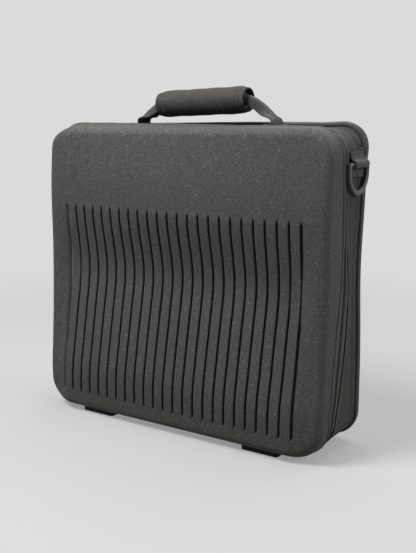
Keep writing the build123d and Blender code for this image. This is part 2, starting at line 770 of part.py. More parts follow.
def d_ring(side):
    """A D-shaped ring hanging from its straight bar."""
    half = RING_SPAN / 2
    arm = RING_DROP - RING_BOW_RADIUS
    inner = half - RING_BOW_RADIUS
    bar = FilletPolyline(
        (-half, -arm), (-half, 0), (half, 0), (half, -arm), radius=RING_CORNER_RADIUS
    )
    bow = Curve() + [
        CenterArc((inner, -arm), RING_BOW_RADIUS, -90, 90),
        Line((inner, -RING_DROP), (-inner, -RING_DROP)),
        CenterArc((-inner, -arm), RING_BOW_RADIUS, 180, 90),
    ]
    place = Plane(
        origin=(side * ring_axis_x(), RING_CENTRE_Y, RING_BAR_HEIGHT),
        x_dir=(0, 1, 0), z_dir=(1, 0, 0),
    )
    path = (place * (Curve() + [bar, bow])).wire()
    section = Plane(origin=path @ 0, z_dir=path % 0) * Circle(RING_STOCK_RADIUS)
    return sweep(section, path=path)


# ---------------------------------------------------------------- zip sliders
def slider_heights(tape_inset):
    """Undersides and tops of a slider's two plates, and the height of its pull's pin."""
    tape_top = COVER_TOP - tape_inset
    upper_low = tape_top + COIL_THICKNESS + RUN_GAP
    lower_high = tape_top - TAPE_THICKNESS - RUN_GAP
    pin = upper_low + SLIDER_PLATE + RUN_GAP + PULL_THICKNESS
    return upper_low, lower_high, pin


def zip_slider(x, y, tape_inset):
    """A slider round both coils: two plates, the web between the coils, and the pull's pin."""
    upper_low, lower_high, pin = slider_heights(tape_inset)
    half_length = SLIDER_LENGTH / 2
    upper = Pos(x, y, upper_low) * RectangleRounded(SLIDER_LENGTH, SLIDER_WIDTH, 2)
    lower = Pos(x, y, lower_high - SLIDER_PLATE) * RectangleRounded(
        SLIDER_LENGTH, SLIDER_WIDTH, 2
    )
    body = extrude(upper, amount=SLIDER_PLATE) + extrude(lower, amount=SLIDER_PLATE)
    body += box_between(
        (x - half_length / 2, y - SLIDER_WEB / 2, lower_high - SLIDER_PLATE / 2),
        (x + half_length / 2, y + SLIDER_WEB / 2, upper_low + SLIDER_PLATE / 2),
    )
    cheek_in = PULL_WIDTH / 2 + BORE_GAP
    for side in (-1, 1):
        low_y = min(side * cheek_in, side * (cheek_in + SLIDER_CHEEK))
        body += box_between(
            (x - PULL_THICKNESS, y + low_y, upper_low + SLIDER_PLATE / 2),
            (x + PULL_THICKNESS, y + low_y + SLIDER_CHEEK, pin + PULL_THICKNESS),
        )
    body += rod((x, y - cheek_in - SLIDER_CHEEK / 2, pin), (0, 1, 0), PULL_PIN_RADIUS,
                2 * cheek_in + SLIDER_CHEEK)
    return body


def zip_pull(x, y, tape_inset, direction):
    """A flat pull lying along the zip, with an eye round the slider's pin."""
    pin = slider_heights(tape_inset)[2]
    low_y = y - PULL_WIDTH / 2
    eye = rod((x, low_y, pin), (0, 1, 0), PULL_THICKNESS, PULL_WIDTH)
    end = x + direction * PULL_LENGTH
    blade = box_between(
        (min(x, end), low_y, pin - PULL_THICKNESS / 2),
        (max(x, end), low_y + PULL_WIDTH, pin + PULL_THICKNESS / 2),
    )
    tip = [
        edge for edge in blade.edges().filter_by(Axis.Z)
        if abs(edge.center().X - end) < PULL_THICKNESS
    ]
    pull = fillet(tip, radius=PULL_WIDTH / 2 - BORE_GAP) + eye
    pull -= rod((x, low_y, pin), (0, 1, 0), PULL_PIN_RADIUS + BORE_GAP, PULL_WIDTH)
    hole_x = end - direction * (PULL_HOLE_RADIUS + PULL_THICKNESS)
    return pull - rod((hole_x, y, pin - PULL_WIDTH), (0, 0, 1), PULL_HOLE_RADIUS, 2 * PULL_WIDTH)


def main_zip_y():
    """Depth of the main zip's straight run along the top, at the height of its tapes."""
    (fore_y, fore_z), (high_y, high_z) = zip_line()[-2:]
    return high_y - (high_y - fore_y) / (high_z - fore_z) * TAPE_INSET


# ---------------------------------------------------------------- build
def build():
    nodes = {
        "front_shell": front_shell(),
        "shell_welt": shell_welt(),
        "cover_liner": cover_liner() - front_foot_rivet_room(),
        "cover_zip_tape": cover_zip_tape(),
        "cover_zip_coil": cover_zip_coil(),
        "cover_pocket": cover_pocket(),
        "cover_pocket_binding": cover_pocket_binding(),
        "gusset": gusset(),
        "gusset_edge_tape": gusset_edge_tape(),
        "body_zip_tape": body_zip_tape(),
        "body_zip_coil": body_zip_coil(),
        "body_liner": body_liner(),
        "hinge_strip": hinge_strip(),
        "back_panel": back_panel(),
        "back_binding": back_binding(),
        "back_zip_tape_front": back_zip_tape_front(),
        "back_zip_tape_rear": back_zip_tape_rear(),
        "back_zip_coils": back_zip_coils(),
        "pocket_divider": pocket_divider(),
        "back_board": back_board(),
        "back_pad": back_pad(),
        "handle_backing": handle_backing(),
        "handle_rivets": handle_rivets(),
        "handle_strap": handle_strap(),
        "handle_grip": handle_grip(),
        "handle_core": handle_core(),
        "front_foot_rivets": foot_rivets(front_foot_places(), front_wall_top()),
        "back_foot_rivets": foot_rivets(back_foot_places(), back_wall_top()),
    }
    for name, side in (("left", -1), ("right", 1)):
        place = (side + 1) // 2
        nodes[f"front_foot_{name}"] = foot(front_foot_places()[place], COVER_BOTTOM)
        nodes[f"back_foot_{name}"] = foot(
            back_foot_places()[place], COVER_BOTTOM + GUSSET_INSET
        )
        nodes[f"handle_anchor_{name}"] = handle_anchor(side)
        nodes[f"side_tab_{name}"] = side_tab(side)
        nodes[f"d_ring_{name}"] = d_ring(side)
    nodes["main_slider"] = zip_slider(MAIN_SLIDER_X, main_zip_y(), TAPE_INSET)
    nodes["main_pull"] = zip_pull(MAIN_SLIDER_X, main_zip_y(), TAPE_INSET, 1)
    nodes["back_slider"] = zip_slider(BACK_SLIDER_X, BACK_ZIP_Y, BACK_ZIP_INSET)
    nodes["back_pull"] = zip_pull(BACK_SLIDER_X, BACK_ZIP_Y, BACK_ZIP_INSET, 1)
    return nodes


os.makedirs("parts", exist_ok=True)
for node, shape in build().items():
    export_step(shape, f"parts/{node}.step")
    print(node, len(shape.solids()), round(shape.volume / 1000, 2), "cm3")
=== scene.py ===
import math

import bmesh
import bpy
import numpy as np
from bpy.props import FloatProperty, FloatVectorProperty, PointerProperty
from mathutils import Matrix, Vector


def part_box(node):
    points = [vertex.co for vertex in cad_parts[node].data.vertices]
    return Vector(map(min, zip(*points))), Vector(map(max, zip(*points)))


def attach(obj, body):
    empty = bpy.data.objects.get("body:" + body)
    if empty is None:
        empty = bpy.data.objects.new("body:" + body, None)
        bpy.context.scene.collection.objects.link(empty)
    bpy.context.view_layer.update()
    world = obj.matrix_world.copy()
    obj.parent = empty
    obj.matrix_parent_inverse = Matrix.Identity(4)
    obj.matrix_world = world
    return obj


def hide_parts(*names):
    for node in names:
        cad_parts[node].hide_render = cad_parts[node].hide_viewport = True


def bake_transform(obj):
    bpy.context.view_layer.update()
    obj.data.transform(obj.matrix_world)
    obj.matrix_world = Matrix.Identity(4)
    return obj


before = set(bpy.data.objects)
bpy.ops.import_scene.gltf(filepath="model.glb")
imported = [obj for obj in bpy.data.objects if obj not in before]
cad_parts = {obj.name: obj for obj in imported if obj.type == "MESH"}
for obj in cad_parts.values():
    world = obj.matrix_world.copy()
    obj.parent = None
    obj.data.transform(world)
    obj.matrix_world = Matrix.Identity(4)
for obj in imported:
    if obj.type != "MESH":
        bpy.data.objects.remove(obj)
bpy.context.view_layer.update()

bl_info = {
    "name": "Padded Carrying Case",
    "version": (1, 0, 0),
    "blender": (4, 5, 0),
    "location": "View3D > Sidebar > Case",
    "description": "Dresses the packed case: shell, gusset, zips, handle, rings and linings",
    "category": "Object",
}

MM = 0.001
QUARTER = math.pi / 2
SIDES = ((-1, "left"), (1, "right"))

# ---------------------------------------------------------------- sizes of the case, in mm
PANEL_LOW, PANEL_HIGH = (np.array(corner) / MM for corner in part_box("back_panel"))
HALF_WIDTH = PANEL_HIGH[0]
BOTTOM, TOP = PANEL_LOW[2], PANEL_HIGH[2]
PANEL_Y, BACK_Y = PANEL_LOW[1], PANEL_HIGH[1]
CORNER_RADIUS = 34.0
MIDDLE = (TOP + BOTTOM) / 2
HALF_HEIGHT = (TOP - BOTTOM) / 2
CENTRE = np.array([0, MIDDLE])
CORE = np.array([HALF_WIDTH - CORNER_RADIUS, HALF_HEIGHT - CORNER_RADIUS])

SHELL_WALL = 4.8
GUSSET_INSET = 2.5
GUSSET_INNER = 4.8
TAPE_INSET = 5.0
TAPE_INNER = 6.2
LINER_INSET = 6.4
CAVITY_INSET = 17.0
BACK_ZIP_FRONT_Y = 37.0
BACK_ZIP_Y = 43.4
BACK_ZIP_END_RISE = 7.0
GUSSET_BACK_Y = 49.8
BINDING_FRONT_Y = 50.0
PANEL_FRONT_Y = PANEL_Y + 0.4
LINER_BACK_Y = 42.3
ZIP_END_X = -176.0
HANDLE_Y = 25.0


# ---------------------------------------------------------------- curves seen from the side
def side_curve(points):
    """Depth as a smooth function of height through (depth, height) points.

    A cubic between each two points, level where the line turns back, and straight past
    the ends.
    """
    depth, height = np.array(points, float).T
    steps = np.diff(depth) / np.diff(height)
    inner = np.where(steps[:-1] * steps[1:] <= 0, 0, (steps[:-1] + steps[1:]) / 2)
    slope = np.concatenate([[steps[0]], inner, [steps[-1]]])

    def at(z):
        z = np.asarray(z, float)
        i = np.clip(np.searchsorted(height, z) - 1, 0, len(height) - 2)
        run = height[i + 1] - height[i]
        t = np.clip((z - height[i]) / run, 0, 1)
        value = (
            depth[i] * (2 * t**3 - 3 * t**2 + 1)
            + depth[i + 1] * (3 * t**2 - 2 * t**3)
            + run * (slope[i] * (t**3 - 2 * t**2 + t) + slope[i + 1] * (t**3 - t**2))
        )
        above = np.maximum(z - height[-1], 0) * slope[-1]
        return value + above + np.minimum(z - height[0], 0) * slope[0]

    return at


cover_seam = side_curve([
    (-33, 7), (-23.5, 75), (-18.7, 120), (-12.6, 163), (-6, 205), (-3.8, 249), (-4.6, 305), (-10, 394),
])
gusset_seam = side_curve([
    (-9, 7), (-5.5, 40), (4.5, 75), (14.5, 123), (20.5, 171), (22, 197), (18.5, 232), (12.5, 262),
    (9, 305), (8, 394),
])
face_middle = side_curve([
    (-58.5, 7), (-59.4, 52), (-50.2, 115), (-44.3, 145), (-34.6, 205), (-47, 286), (-35, 394),
])
side_crown = side_curve([
    (0.5, 40), (1.6, 95), (0.4, 160), (-0.4, 200), (5.0, 284), (2.0, 350), (0, 394),
])
face_rim = side_curve([
    (-51.5, 7), (-52, 53), (-49, 96), (-46, 140), (-42.5, 225), (-42, 310), (-39, 351), (-35, 394),
])


def smooth(value, low, high):
    """0 below low, 1 above high and an s-shaped rise between."""
    t = np.clip((value - low) / (high - low), 0, 1)
    return t * t * (3 - 2 * t)


def shifted(depth, shift):
    """A depth function moved back by the shift."""
    return lambda *at: depth(*at) + shift


def between(first, second, share):
    """A depth function that lies the share of the way from the first to the second."""
    return lambda *at: first(*at) * (1 - share) + second(*at) * share


def at_depth(y):
    """A depth function that stays at one depth."""
    return lambda *at: np.full(np.shape(at[-1]), float(y))


zip_line = between(cover_seam, gusset_seam, 0.5)


def seam_depth(x, z):
    """The cover's seam as a depth over (x, z)."""
    return cover_seam(z)


def face_depth(x, z):
    """The moulded face: the middle's profile, falling back to the sides and then the rim's."""
    rim = smooth(np.abs(x), 168, 202)
    middle = face_middle(z) + side_crown(z) * np.clip(np.abs(x) / 165, 0, 1) ** 2.3
    return middle * (1 - rim) + face_rim(z) * rim


def inner_rise(x, z, inset, run):
    """0 within the inset from the case's sides and an s-shaped rise to 1 over the run."""
    return (
        smooth(HALF_WIDTH - inset - np.abs(x), 0, run)
        * smooth(HALF_HEIGHT - inset - np.abs(z - MIDDLE), 0, run)
    )


# ---------------------------------------------------------------- the outline of the case
def whole_turn(count):
    """Evenly spaced angles round a whole turn."""
    return np.linspace(0, 2 * math.pi, count + 1)[:-1]


def unit(vectors):
    """Vectors cut or drawn out to length one."""
    return vectors / np.linalg.norm(vectors, axis=-1, keepdims=True)


def left_of(tangent):
    """Directions in a plane turned a quarter turn to the left."""
    return np.stack([-tangent[..., 1], tangent[..., 0]], -1)


def run_lengths(line):
    """Distance from a line's start to each of its points."""
    return np.concatenate([[0], np.cumsum(np.linalg.norm(np.diff(line, axis=0), axis=1))])


def resampled(distance, run, line):
    """The points of a line at the given distances along it."""
    return np.stack([np.interp(distance, run, column) for column in line.T], -1)


def laid(place, depth):
    """Points (x, z) of the outline's plane set at a depth: (x, depth, z)."""
    return np.stack([place[..., 0], np.broadcast_to(depth, place.shape[:-1]), place[..., 1]], -1)


STRAIGHT_WIDTH, STRAIGHT_HEIGHT = 2 * CORE
ARC = CORNER_RADIUS * QUARTER
OUTLINE_RUNS = np.array([STRAIGHT_WIDTH, ARC, STRAIGHT_HEIGHT, ARC] * 2)
OUTLINE_STARTS = np.concatenate([[0], np.cumsum(OUTLINE_RUNS)[:-1]])
OUTLINE_LENGTH = OUTLINE_RUNS.sum()
CORNERS = np.array([[1, 1], [1, -1], [-1, -1], [-1, 1]]) * CORE


def outline_at(s):
    """Point and outward direction of the outline at distance s, clockwise from the top left.

    Four straight runs joined by quarter circles round the four corner centres.
    """
    s = np.asarray(s, float) % OUTLINE_LENGTH
    run = np.searchsorted(OUTLINE_STARTS, s, side="right") - 1
    along = s - OUTLINE_STARTS[run]
    bent = run % 2 == 1
    turn = (run // 2) * QUARTER + np.where(bent, along / CORNER_RADIUS, 0)
    outward = np.stack([np.sin(turn), np.cos(turn)], -1)
    centre = CORNERS[((run - 1) // 2) % 4]
    straight = np.where(bent, 0, along)[:, None] * -left_of(outward)
    return centre + CORNER_RADIUS * outward + straight + CENTRE, outward


def pushed(grid, s, distance):
    """A band's grid moved out of the case by a distance for each row and column."""
    return grid + laid(outline_at(s)[1], 0.0)[:, None, :] * distance[:, :, None]


MAIN_ZIP_START = ZIP_END_X + STRAIGHT_WIDTH / 2
MAIN_ZIP = (MAIN_ZIP_START, OUTLINE_STARTS[5] - MAIN_ZIP_START)
BACK_ZIP = (
    MAIN_ZIP_START, STRAIGHT_WIDTH + CORNER_RADIUS * math.acos(BACK_ZIP_END_RISE / CORNER_RADIUS)
)
WHOLE = (0.0, OUTLINE_LENGTH)


def steps_along(run, spacing):
    """Even steps along part of the outline; a whole turn leaves its last step out."""
    count = max(2, int(round((run[1] - run[0]) / spacing)))
    return np.linspace(run[0], run[1], count + 1)[: count if run is WHOLE else None]


def waist(points):
    """The soft body's slack.

    The back is drawn in half way up its sides. Its top hangs a little at the left, swells up
    to the right and is pushed out at the right corner.
    """
    x, y, z = points[..., 0], points[..., 1], points[..., 2]
    rear = smooth(y, 45.8, 51.5)
    pull = 3.4 * np.exp(-(((z - 222) / 72) ** 2)) * smooth(y, 8, 52) * smooth(np.abs(x), 120, 210)
    swell = (3.3 * smooth(x, -110, 110) - 2.4 * (1 - smooth(x, -190, -70))) * smooth(z, 300, 392)
    corner = 6.0 * smooth(x, 150, 203) * smooth(z, 340, 384)
    side = x - np.sign(x) * pull + 0.6 * corner * rear
    return np.stack([side, y, z + (swell + 0.4 * corner) * rear], -1)


def slack(shape=lambda grid, s: grid):
    """A band's own shape followed by the body's slack."""
    return lambda grid, s: waist(shape(grid, s))


# ---------------------------------------------------------------- meshes from grids
def mesh_object(name, points, faces, uv=None):
    """A mesh object from points in mm, rows of face corners and each corner's texture place."""
    mesh = bpy.data.meshes.new(name)
    sizes = np.concatenate([np.full(len(f), f.shape[1]) for f in faces])
    corners = np.concatenate([f.reshape(-1) for f in faces]).astype(np.int32)
    mesh.vertices.add(len(points))
    mesh.vertices.foreach_set("co", (points * MM).astype(np.float32).reshape(-1))
    mesh.loops.add(len(corners))
    mesh.loops.foreach_set("vertex_index", corners)
    mesh.polygons.add(len(sizes))
    mesh.polygons.foreach_set("loop_start", (np.cumsum(sizes) - sizes).astype(np.int32))
    mesh.polygons.foreach_set("loop_total", sizes.astype(np.int32))
    mesh.polygons.foreach_set("use_smooth", np.ones(len(sizes), bool))
    if uv is not None:
        places = np.concatenate([u.reshape(-1, 2) for u in uv]).astype(np.float32)
        mesh.uv_layers.new(name="cloth").data.foreach_set("uv", places.reshape(-1))
    mesh.update(calc_edges=True)
    work = bmesh.new()
    work.from_mesh(mesh)
    bmesh.ops.recalc_face_normals(work, faces=work.faces)
    work.to_mesh(mesh)
    work.free()
    made = bpy.data.objects.new(name, mesh)
    bpy.context.scene.collection.objects.link(made)
    return made


def grid_faces(rows, columns, wrap_rows=False, wrap_columns=False, start=0):
    """Corner numbers of the quads of a grid of points, rows first, and each quad's place."""
    i = np.arange(rows if wrap_rows else rows - 1)
    j = np.arange(columns if wrap_columns else columns - 1)
    i, j = (a.reshape(-1) for a in np.meshgrid(i, j, indexing="ij"))
    here, below = i * columns, (i + 1) % rows * columns
    after = (j + 1) % columns
    return np.stack([here + j, below + j, below + after, here + after], -1) + start, (i, j)


def end_faces(rows, columns):
    """The two faces that close a bar at its first and its last row."""
    return np.stack([np.arange(columns)[::-1], np.arange(columns) + (rows - 1) * columns])


def border_loop(rows, columns):
    """Numbers of a grid's border points, in order round it."""
    index = np.arange(rows * columns).reshape(rows, columns)
    return np.concatenate([index[0, :-1], index[:-1, -1], index[-1, :0:-1], index[:0:-1, 0]])


def tube(name, grid, wrap_rows=False):
    """A grid of points as a closed band or a capped bar, with texture places in metres."""
    rows, columns = grid.shape[:2]
    quads, (i, j) = grid_faces(rows, columns, wrap_rows, True)
    along = np.linalg.norm(np.roll(grid, -1, 0) - grid, axis=-1).mean(1)
    across = np.linalg.norm(np.roll(grid, -1, 1) - grid, axis=-1)[rows // 2]
    u, v = (np.concatenate([[0], np.cumsum(step)]) * MM for step in (along, across))
    corners = [np.stack([u[i + a], v[j + b]], -1) for a, b in ((0, 0), (1, 0), (1, 1), (0, 1))]
    faces, uv = [quads], [np.stack(corners, 1)]
    if not wrap_rows:
        caps = end_faces(rows, columns)
        faces.append(caps)
        uv.append(np.stack([v[:-1][caps % columns], np.zeros(caps.shape)], -1))
    return mesh_object(name, grid.reshape(-1, 3), faces, uv)


def band_section(outer, inner, front, back, radius, cuts=1, steps=3):
    """Section of a band: (inset, depth curve) round a rectangle with rounded corners."""
    turn = np.linspace(0, QUARTER, steps + 1)
    bends = list(zip(radius * (1 - np.sin(turn)), radius * (1 - np.cos(turn))))
    edge, rest = shifted(front, radius), shifted(back, -radius)
    section = [(outer + a, shifted(front, b)) for a, b in bends]
    section += [(outer, between(edge, rest, share)) for share in np.arange(1, cuts) / cuts]
    section += [(outer + b, shifted(back, -a)) for a, b in bends]
    section += [(inner - a, shifted(back, -b)) for a, b in bends]
    section += [(inner - b, shifted(front, a)) for a, b in bends]
    return section


def band(name, run, section, spacing=4.0, shape=None):
    """A section carried along the outline: moved in by the inset, at its curve's depth."""
    s = steps_along(run, spacing)
    point, outward = outline_at(s)
    lines = []
    for inset, curve in section:
        place = point - np.reshape(inset, (-1, 1)) * outward
        lines.append(laid(place, curve(place[:, 1])))
    grid = np.stack(lines, 1)
    return tube(name, grid if shape is None else shape(grid, s), wrap_rows=run is WHOLE)


def finish(piece, body, material, slot, *nodes):
    """Gives a piece its material and its body and hides the nodes that it stands for; the slot is not used."""
    piece.data.materials.clear()
    piece.data.materials.append(make_materials()[material])
    if body:
        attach(piece, body)
    if nodes:
        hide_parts(*nodes)
    return piece


def build_bands(rows):
    """Bands from rows of name, run, section, spacing, shape, body, material, slot and nodes."""
    for name, run, section, spacing, shape, *rest in rows:
        finish(band(name, run, section, spacing, shape), *rest)


# ---------------------------------------------------------------- shader helpers
def add_node(tree, kind, inputs=(), **settings):
    """A node with its settings made, its values set and its links laid."""
    node = tree.nodes.new(kind)
    for key, value in settings.items():
        setattr(node, key, value)
    for key, value in dict(inputs).items():
        if isinstance(value, bpy.types.NodeSocket):
            tree.links.new(value, node.inputs[key])
        else:
            node.inputs[key].default_value = value
    return node


def math_node(tree, operation, *values):
    """The result of a maths node on numbers or sockets."""
    return add_node(tree, "ShaderNodeMath", dict(enumerate(values)), operation=operation).outputs[0]


def multiply(tree, first, second):
    return math_node(tree, "MULTIPLY", first, second)


def vector_node(tree, operation, inputs):
    return add_node(tree, "ShaderNodeVectorMath", inputs, operation=operation).outputs[0]


def noise(tree, place, scale, detail, roughness=0.5, output="Fac"):
    inputs = {"Vector": place, "Scale": scale, "Detail": detail, "Roughness": roughness}
    return add_node(tree, "ShaderNodeTexNoise", inputs).outputs[output]


def cell_distance(tree, place, scale, **settings):
    inputs = {"Vector": place, "Scale": scale}
    return add_node(tree, "ShaderNodeTexVoronoi", inputs, **settings).outputs["Distance"]


def map_range(tree, value, low, high, to_low=0.0, to_high=1.0, **settings):
    """A value carried from one range to another and held at its ends."""
    inputs = {"Value": value, "From Min": low, "From Max": high, "To Min": to_low, "To Max": to_high}
    return add_node(tree, "ShaderNodeMapRange", inputs, **settings).outputs[0]


# ---------------------------------------------------------------- shared effects
def wave(tree, value):
    """The size of a sine that falls to zero at each whole number."""
    return math_node(tree, "SINE", multiply(tree, value, math.pi))


def plain_weave(tree, place, thread, unevenness):
    """Plain weave: two sets of round threads, over and under in a checker of one thread."""
    wander = noise(tree, place, 220.0, 2.0, output="Color")
    centred = vector_node(tree, "SUBTRACT", {0: wander, 1: (0.5, 0.5, 0.5)})
    amount = multiply(tree, unevenness, thread)
    shift = vector_node(tree, "SCALE", {0: centred, "Scale": amount})
    place = vector_node(tree, "ADD", {0: place, 1: shift})
    split = add_node(tree, "ShaderNodeSeparateXYZ", {0: place}).outputs
    waves = [wave(tree, math_node(tree, "DIVIDE", split[axis], thread)) for axis in "XY"]
    over_under = math_node(tree, "GREATER_THAN", multiply(tree, *waves), 0.0)
    rounds = [math_node(tree, "ABSOLUTE", w) for w in waves]
    picked = add_node(
        tree, "ShaderNodeMix", {0: over_under, 2: rounds[0], 3: rounds[1]}, data_type="FLOAT"
    )
    full = math_node(tree, "POWER", multiply(tree, *rounds), 0.35)
    # The second value marks the gaps between the threads, where the cloth gets painted shade.
    return picked.outputs[0], math_node(tree, "SUBTRACT", 1.0, full)


def ribbed_weave(tree, place, rib, shift):
    """Ribbed weave: close cross ribs, each row set along by a share of a step."""
    split = add_node(tree, "ShaderNodeSeparateXYZ", {0: place}).outputs
    across = math_node(tree, "DIVIDE", split["Y"], rib)
    odd = math_node(tree, "MODULO", math_node(tree, "FLOOR", across), 2.0)
    along = math_node(tree, "DIVIDE", split["X"], rib)
    along = math_node(tree, "ADD", along, multiply(tree, odd, shift))
    ridge = math_node(tree, "POWER", math_node(tree, "ABSOLUTE", wave(tree, along)), 0.6)
    side = math_node(tree, "POWER", math_node(tree, "ABSOLUTE", wave(tree, across)), 0.5)
    height = multiply(tree, ridge, side)
    # The second value marks the gaps between the ribs, where the cloth gets painted shade.
    return height, math_node(tree, "SUBTRACT", 1.0, math_node(tree, "POWER", height, 0.5))


def fine_grain(tree, place, cell):
    """Grained sheet: small rounded cells broken up by finer noise."""
    cells = cell_distance(tree, place, cell, feature="SMOOTH_F1")
    fine = noise(tree, place, multiply(tree, cell, 2.3), 3.0, 0.6)
    return (math_node(tree, "MULTIPLY_ADD", fine, 0.5, cells),)


def worn_patches(tree, place, patch, amount):
    """Uneven colour: broad cloudy patches and short streaks, around one."""
    broad = noise(tree, place, patch, 5.0, 0.62)
    fine = noise(tree, place, multiply(tree, patch, 14.0), 4.0, 0.7)
    mixed = math_node(tree, "MULTIPLY_ADD", fine, 0.45, broad)
    centred = multiply(tree, math_node(tree, "SUBTRACT", mixed, 0.725), 3.0)
    return math_node(tree, "MULTIPLY_ADD", centred, amount, 1.0), broad


def dust_specks(tree, place, spread, cover):
    """Dust: small round specks, thick in some places and missing in others."""
    dots = map_range(tree, cell_distance(tree, place, spread), 0.3, 0.12)
    low = math_node(tree, "SUBTRACT", 0.86, multiply(tree, cover, 0.4))
    high = math_node(tree, "ADD", low, 0.12)
    return (multiply(tree, dots, map_range(tree, noise(tree, place, 150.0, 4.0), low, high)),)


GROUPS = {}


def make_groups():
    """Each shared effect as a group that takes a place and values and gives values."""
    for formula, inputs, outputs in (
        (plain_weave, {"Thread": 0.001, "Unevenness": 0.3}, ("Height", "Gaps")),
        (ribbed_weave, {"Rib": 0.0014, "Shift": 0.5}, ("Height", "Gaps")),
        (fine_grain, {"Cell": 900.0}, ("Height",)),
        (worn_patches, {"Patch": 9.0, "Amount": 0.15}, ("Shade", "Patches")),
        (dust_specks, {"Spread": 420.0, "Cover": 0.5}, ("Mask",)),
    ):
        tree = bpy.data.node_groups.new(formula.__name__, "ShaderNodeTree")
        tree.interface.new_socket("Place", in_out="INPUT", socket_type="NodeSocketVector")
        for label, value in inputs.items():
            socket = tree.interface.new_socket(label, in_out="INPUT", socket_type="NodeSocketFloat")
            socket.default_value = value
        for label in outputs:
            tree.interface.new_socket(label, in_out="OUTPUT", socket_type="NodeSocketFloat")
        given = tree.nodes.new("NodeGroupInput").outputs
        results = formula(tree, *[given[label] for label in ("Place", *inputs)])
        out = tree.nodes.new("NodeGroupOutput").inputs
        for label, result in zip(outputs, results):
            tree.links.new(result, out[label])
        GROUPS[formula.__name__] = tree


def group_node(tree, group, **inputs):
    """A shared effect placed in a material: its outputs."""
    return add_node(tree, "ShaderNodeGroup", inputs, node_tree=GROUPS[group]).outputs


# ---------------------------------------------------------------- materials
SOCKETS = {
    "specular": "Specular IOR Level", "sheen": "Sheen Weight", "metallic": "Metallic",
    "sheen_roughness": "Sheen Roughness",
}
WEAVE_DUST = (0.3, 0.29, 0.27)
# Painted shade between woven threads: the share of the cloth's colour that is left in the gaps.
PAINTED_GAP_SHADE = 0.25


def surface(name, colour, roughness, **values):
    """A Principled material with its even values on the shader, and the object's coordinates."""
    material = bpy.data.materials.new(name)
    material.use_nodes = True
    tree = material.node_tree
    shader = tree.nodes["Principled BSDF"]
    shader.inputs["Base Color"].default_value = (*colour, 1)
    shader.inputs["Roughness"].default_value = roughness
    for key, value in values.items():
        shader.inputs[SOCKETS[key]].default_value = value
    return material, tree, shader, add_node(tree, "ShaderNodeTexCoord").outputs["Object"]


def shaded(tree, colour, shade):
    """A colour made lighter or darker by a changing value."""
    grey = add_node(tree, "ShaderNodeCombineXYZ", {0: shade, 1: shade, 2: shade}).outputs[0]
    return add_node(
        tree, "ShaderNodeMix", {0: 1.0, 6: (*colour, 1), 7: grey},
        data_type="RGBA", blend_type="MULTIPLY",
    ).outputs[2]


def over(tree, under, colour, mask):
    """A second colour laid over the first where the mask says."""
    inputs = {0: mask, 6: under, 7: (*colour, 1)}
    return add_node(tree, "ShaderNodeMix", inputs, data_type="RGBA").outputs[2]


def dress(tree, shader, base, height, strength, depth):
    """Links a colour and a bump, its depth in metres, to the shader."""
    inputs = {"Height": height, "Strength": strength, "Distance": depth}
    tree.links.new(base, shader.inputs["Base Color"])
    tree.links.new(add_node(tree, "ShaderNodeBump", inputs).outputs[0], shader.inputs["Normal"])


def uneven_shine(tree, shader, patches, low, high):
    tree.links.new(map_range(tree, patches, 0.3, 0.7, low, high), shader.inputs["Roughness"])


def vinyl(name, colour, dust, grain=950.0, depth=0.00012, roughness=0.52, patch=0.16,
          mottle=0.0, paint_groove_shade=False):
    """Grained vinyl: cells in the surface, uneven shine, worn patches, dust and, where asked, painted shade in
    the grooves.
    """
    material, tree, shader, place = surface(name, colour, roughness, specular=0.3)
    patches = group_node(tree, "worn_patches", Place=place, Patch=8.0, Amount=patch)
    shade = patches["Shade"]
    if mottle:
        spots = group_node(tree, "worn_patches", Place=place, Patch=430.0, Amount=mottle)
        shade = multiply(tree, shade, spots["Shade"])
    # Painted shade in the grooves: the colour is darkened with the groove's depth, to 0.18 of itself at a
    # groove's bottom.
    if paint_groove_shade:
        groove_shade = add_node(tree, "ShaderNodeAttribute", attribute_name="groove_shade").outputs["Fac"]
        shade = multiply(tree, shade, math_node(tree, "MULTIPLY_ADD", groove_shade, -0.82, 1.0))
    specks = group_node(tree, "dust_specks", Place=place, Cover=dust)
    mask = multiply(tree, specks["Mask"], 0.8)
    base = over(tree, shaded(tree, colour, shade), bpy.context.scene.case_colours.dust, mask)
    cells = group_node(tree, "fine_grain", Place=place, Cell=grain)
    dress(tree, shader, base, cells["Height"], 0.75, depth)
    uneven_shine(tree, shader, patches["Patches"], roughness - 0.07, roughness + 0.12)
    return material


def woven(name, colour, weave, depth, dust, patch=0.2, sheen=0.25, **sizes):
    """Woven cloth on the piece's own texture places: threads, painted shade in the gaps between them and uneven
    colour.
    """
    material, tree, shader, place = surface(
        name, colour, 0.85, specular=0.22, sheen=sheen, sheen_roughness=0.5
    )
    cloth = add_node(tree, "ShaderNodeUVMap", uv_map="cloth").outputs["UV"]
    threads = group_node(tree, weave, Place=cloth, **sizes)
    patches = group_node(tree, "worn_patches", Place=place, Patch=22.0, Amount=patch)
    specks = group_node(tree, "dust_specks", Place=place, Cover=dust, Spread=650.0)
    base = shaded(tree, colour, patches["Shade"])
    # Painted shade: between the threads the colour is darkened towards a quarter of itself.
    dark = tuple(c * PAINTED_GAP_SHADE for c in colour)
    base = over(tree, base, dark, multiply(tree, threads["Gaps"], 0.8))
    base = over(tree, base, WEAVE_DUST, multiply(tree, specks["Mask"], 0.35))
    dress(tree, shader, base, threads["Height"], 0.9, depth)
    return material


def brushed(name, colour, fibre=1400.0, depth=0.0003, patch=0.25):
    """Brushed or knitted lining: fine fibre noise and a soft sheen."""
    material, tree, shader, place = surface(
        name, colour, 0.95, specular=0.15, sheen=0.45, sheen_roughness=0.6
    )
    patches = group_node(tree, "worn_patches", Place=place, Patch=30.0, Amount=patch)
    fibres = noise(tree, place, fibre, 4.0, 0.75)
    dress(tree, shader, shaded(tree, colour, patches["Shade"]), fibres, 0.8, depth)
    return material


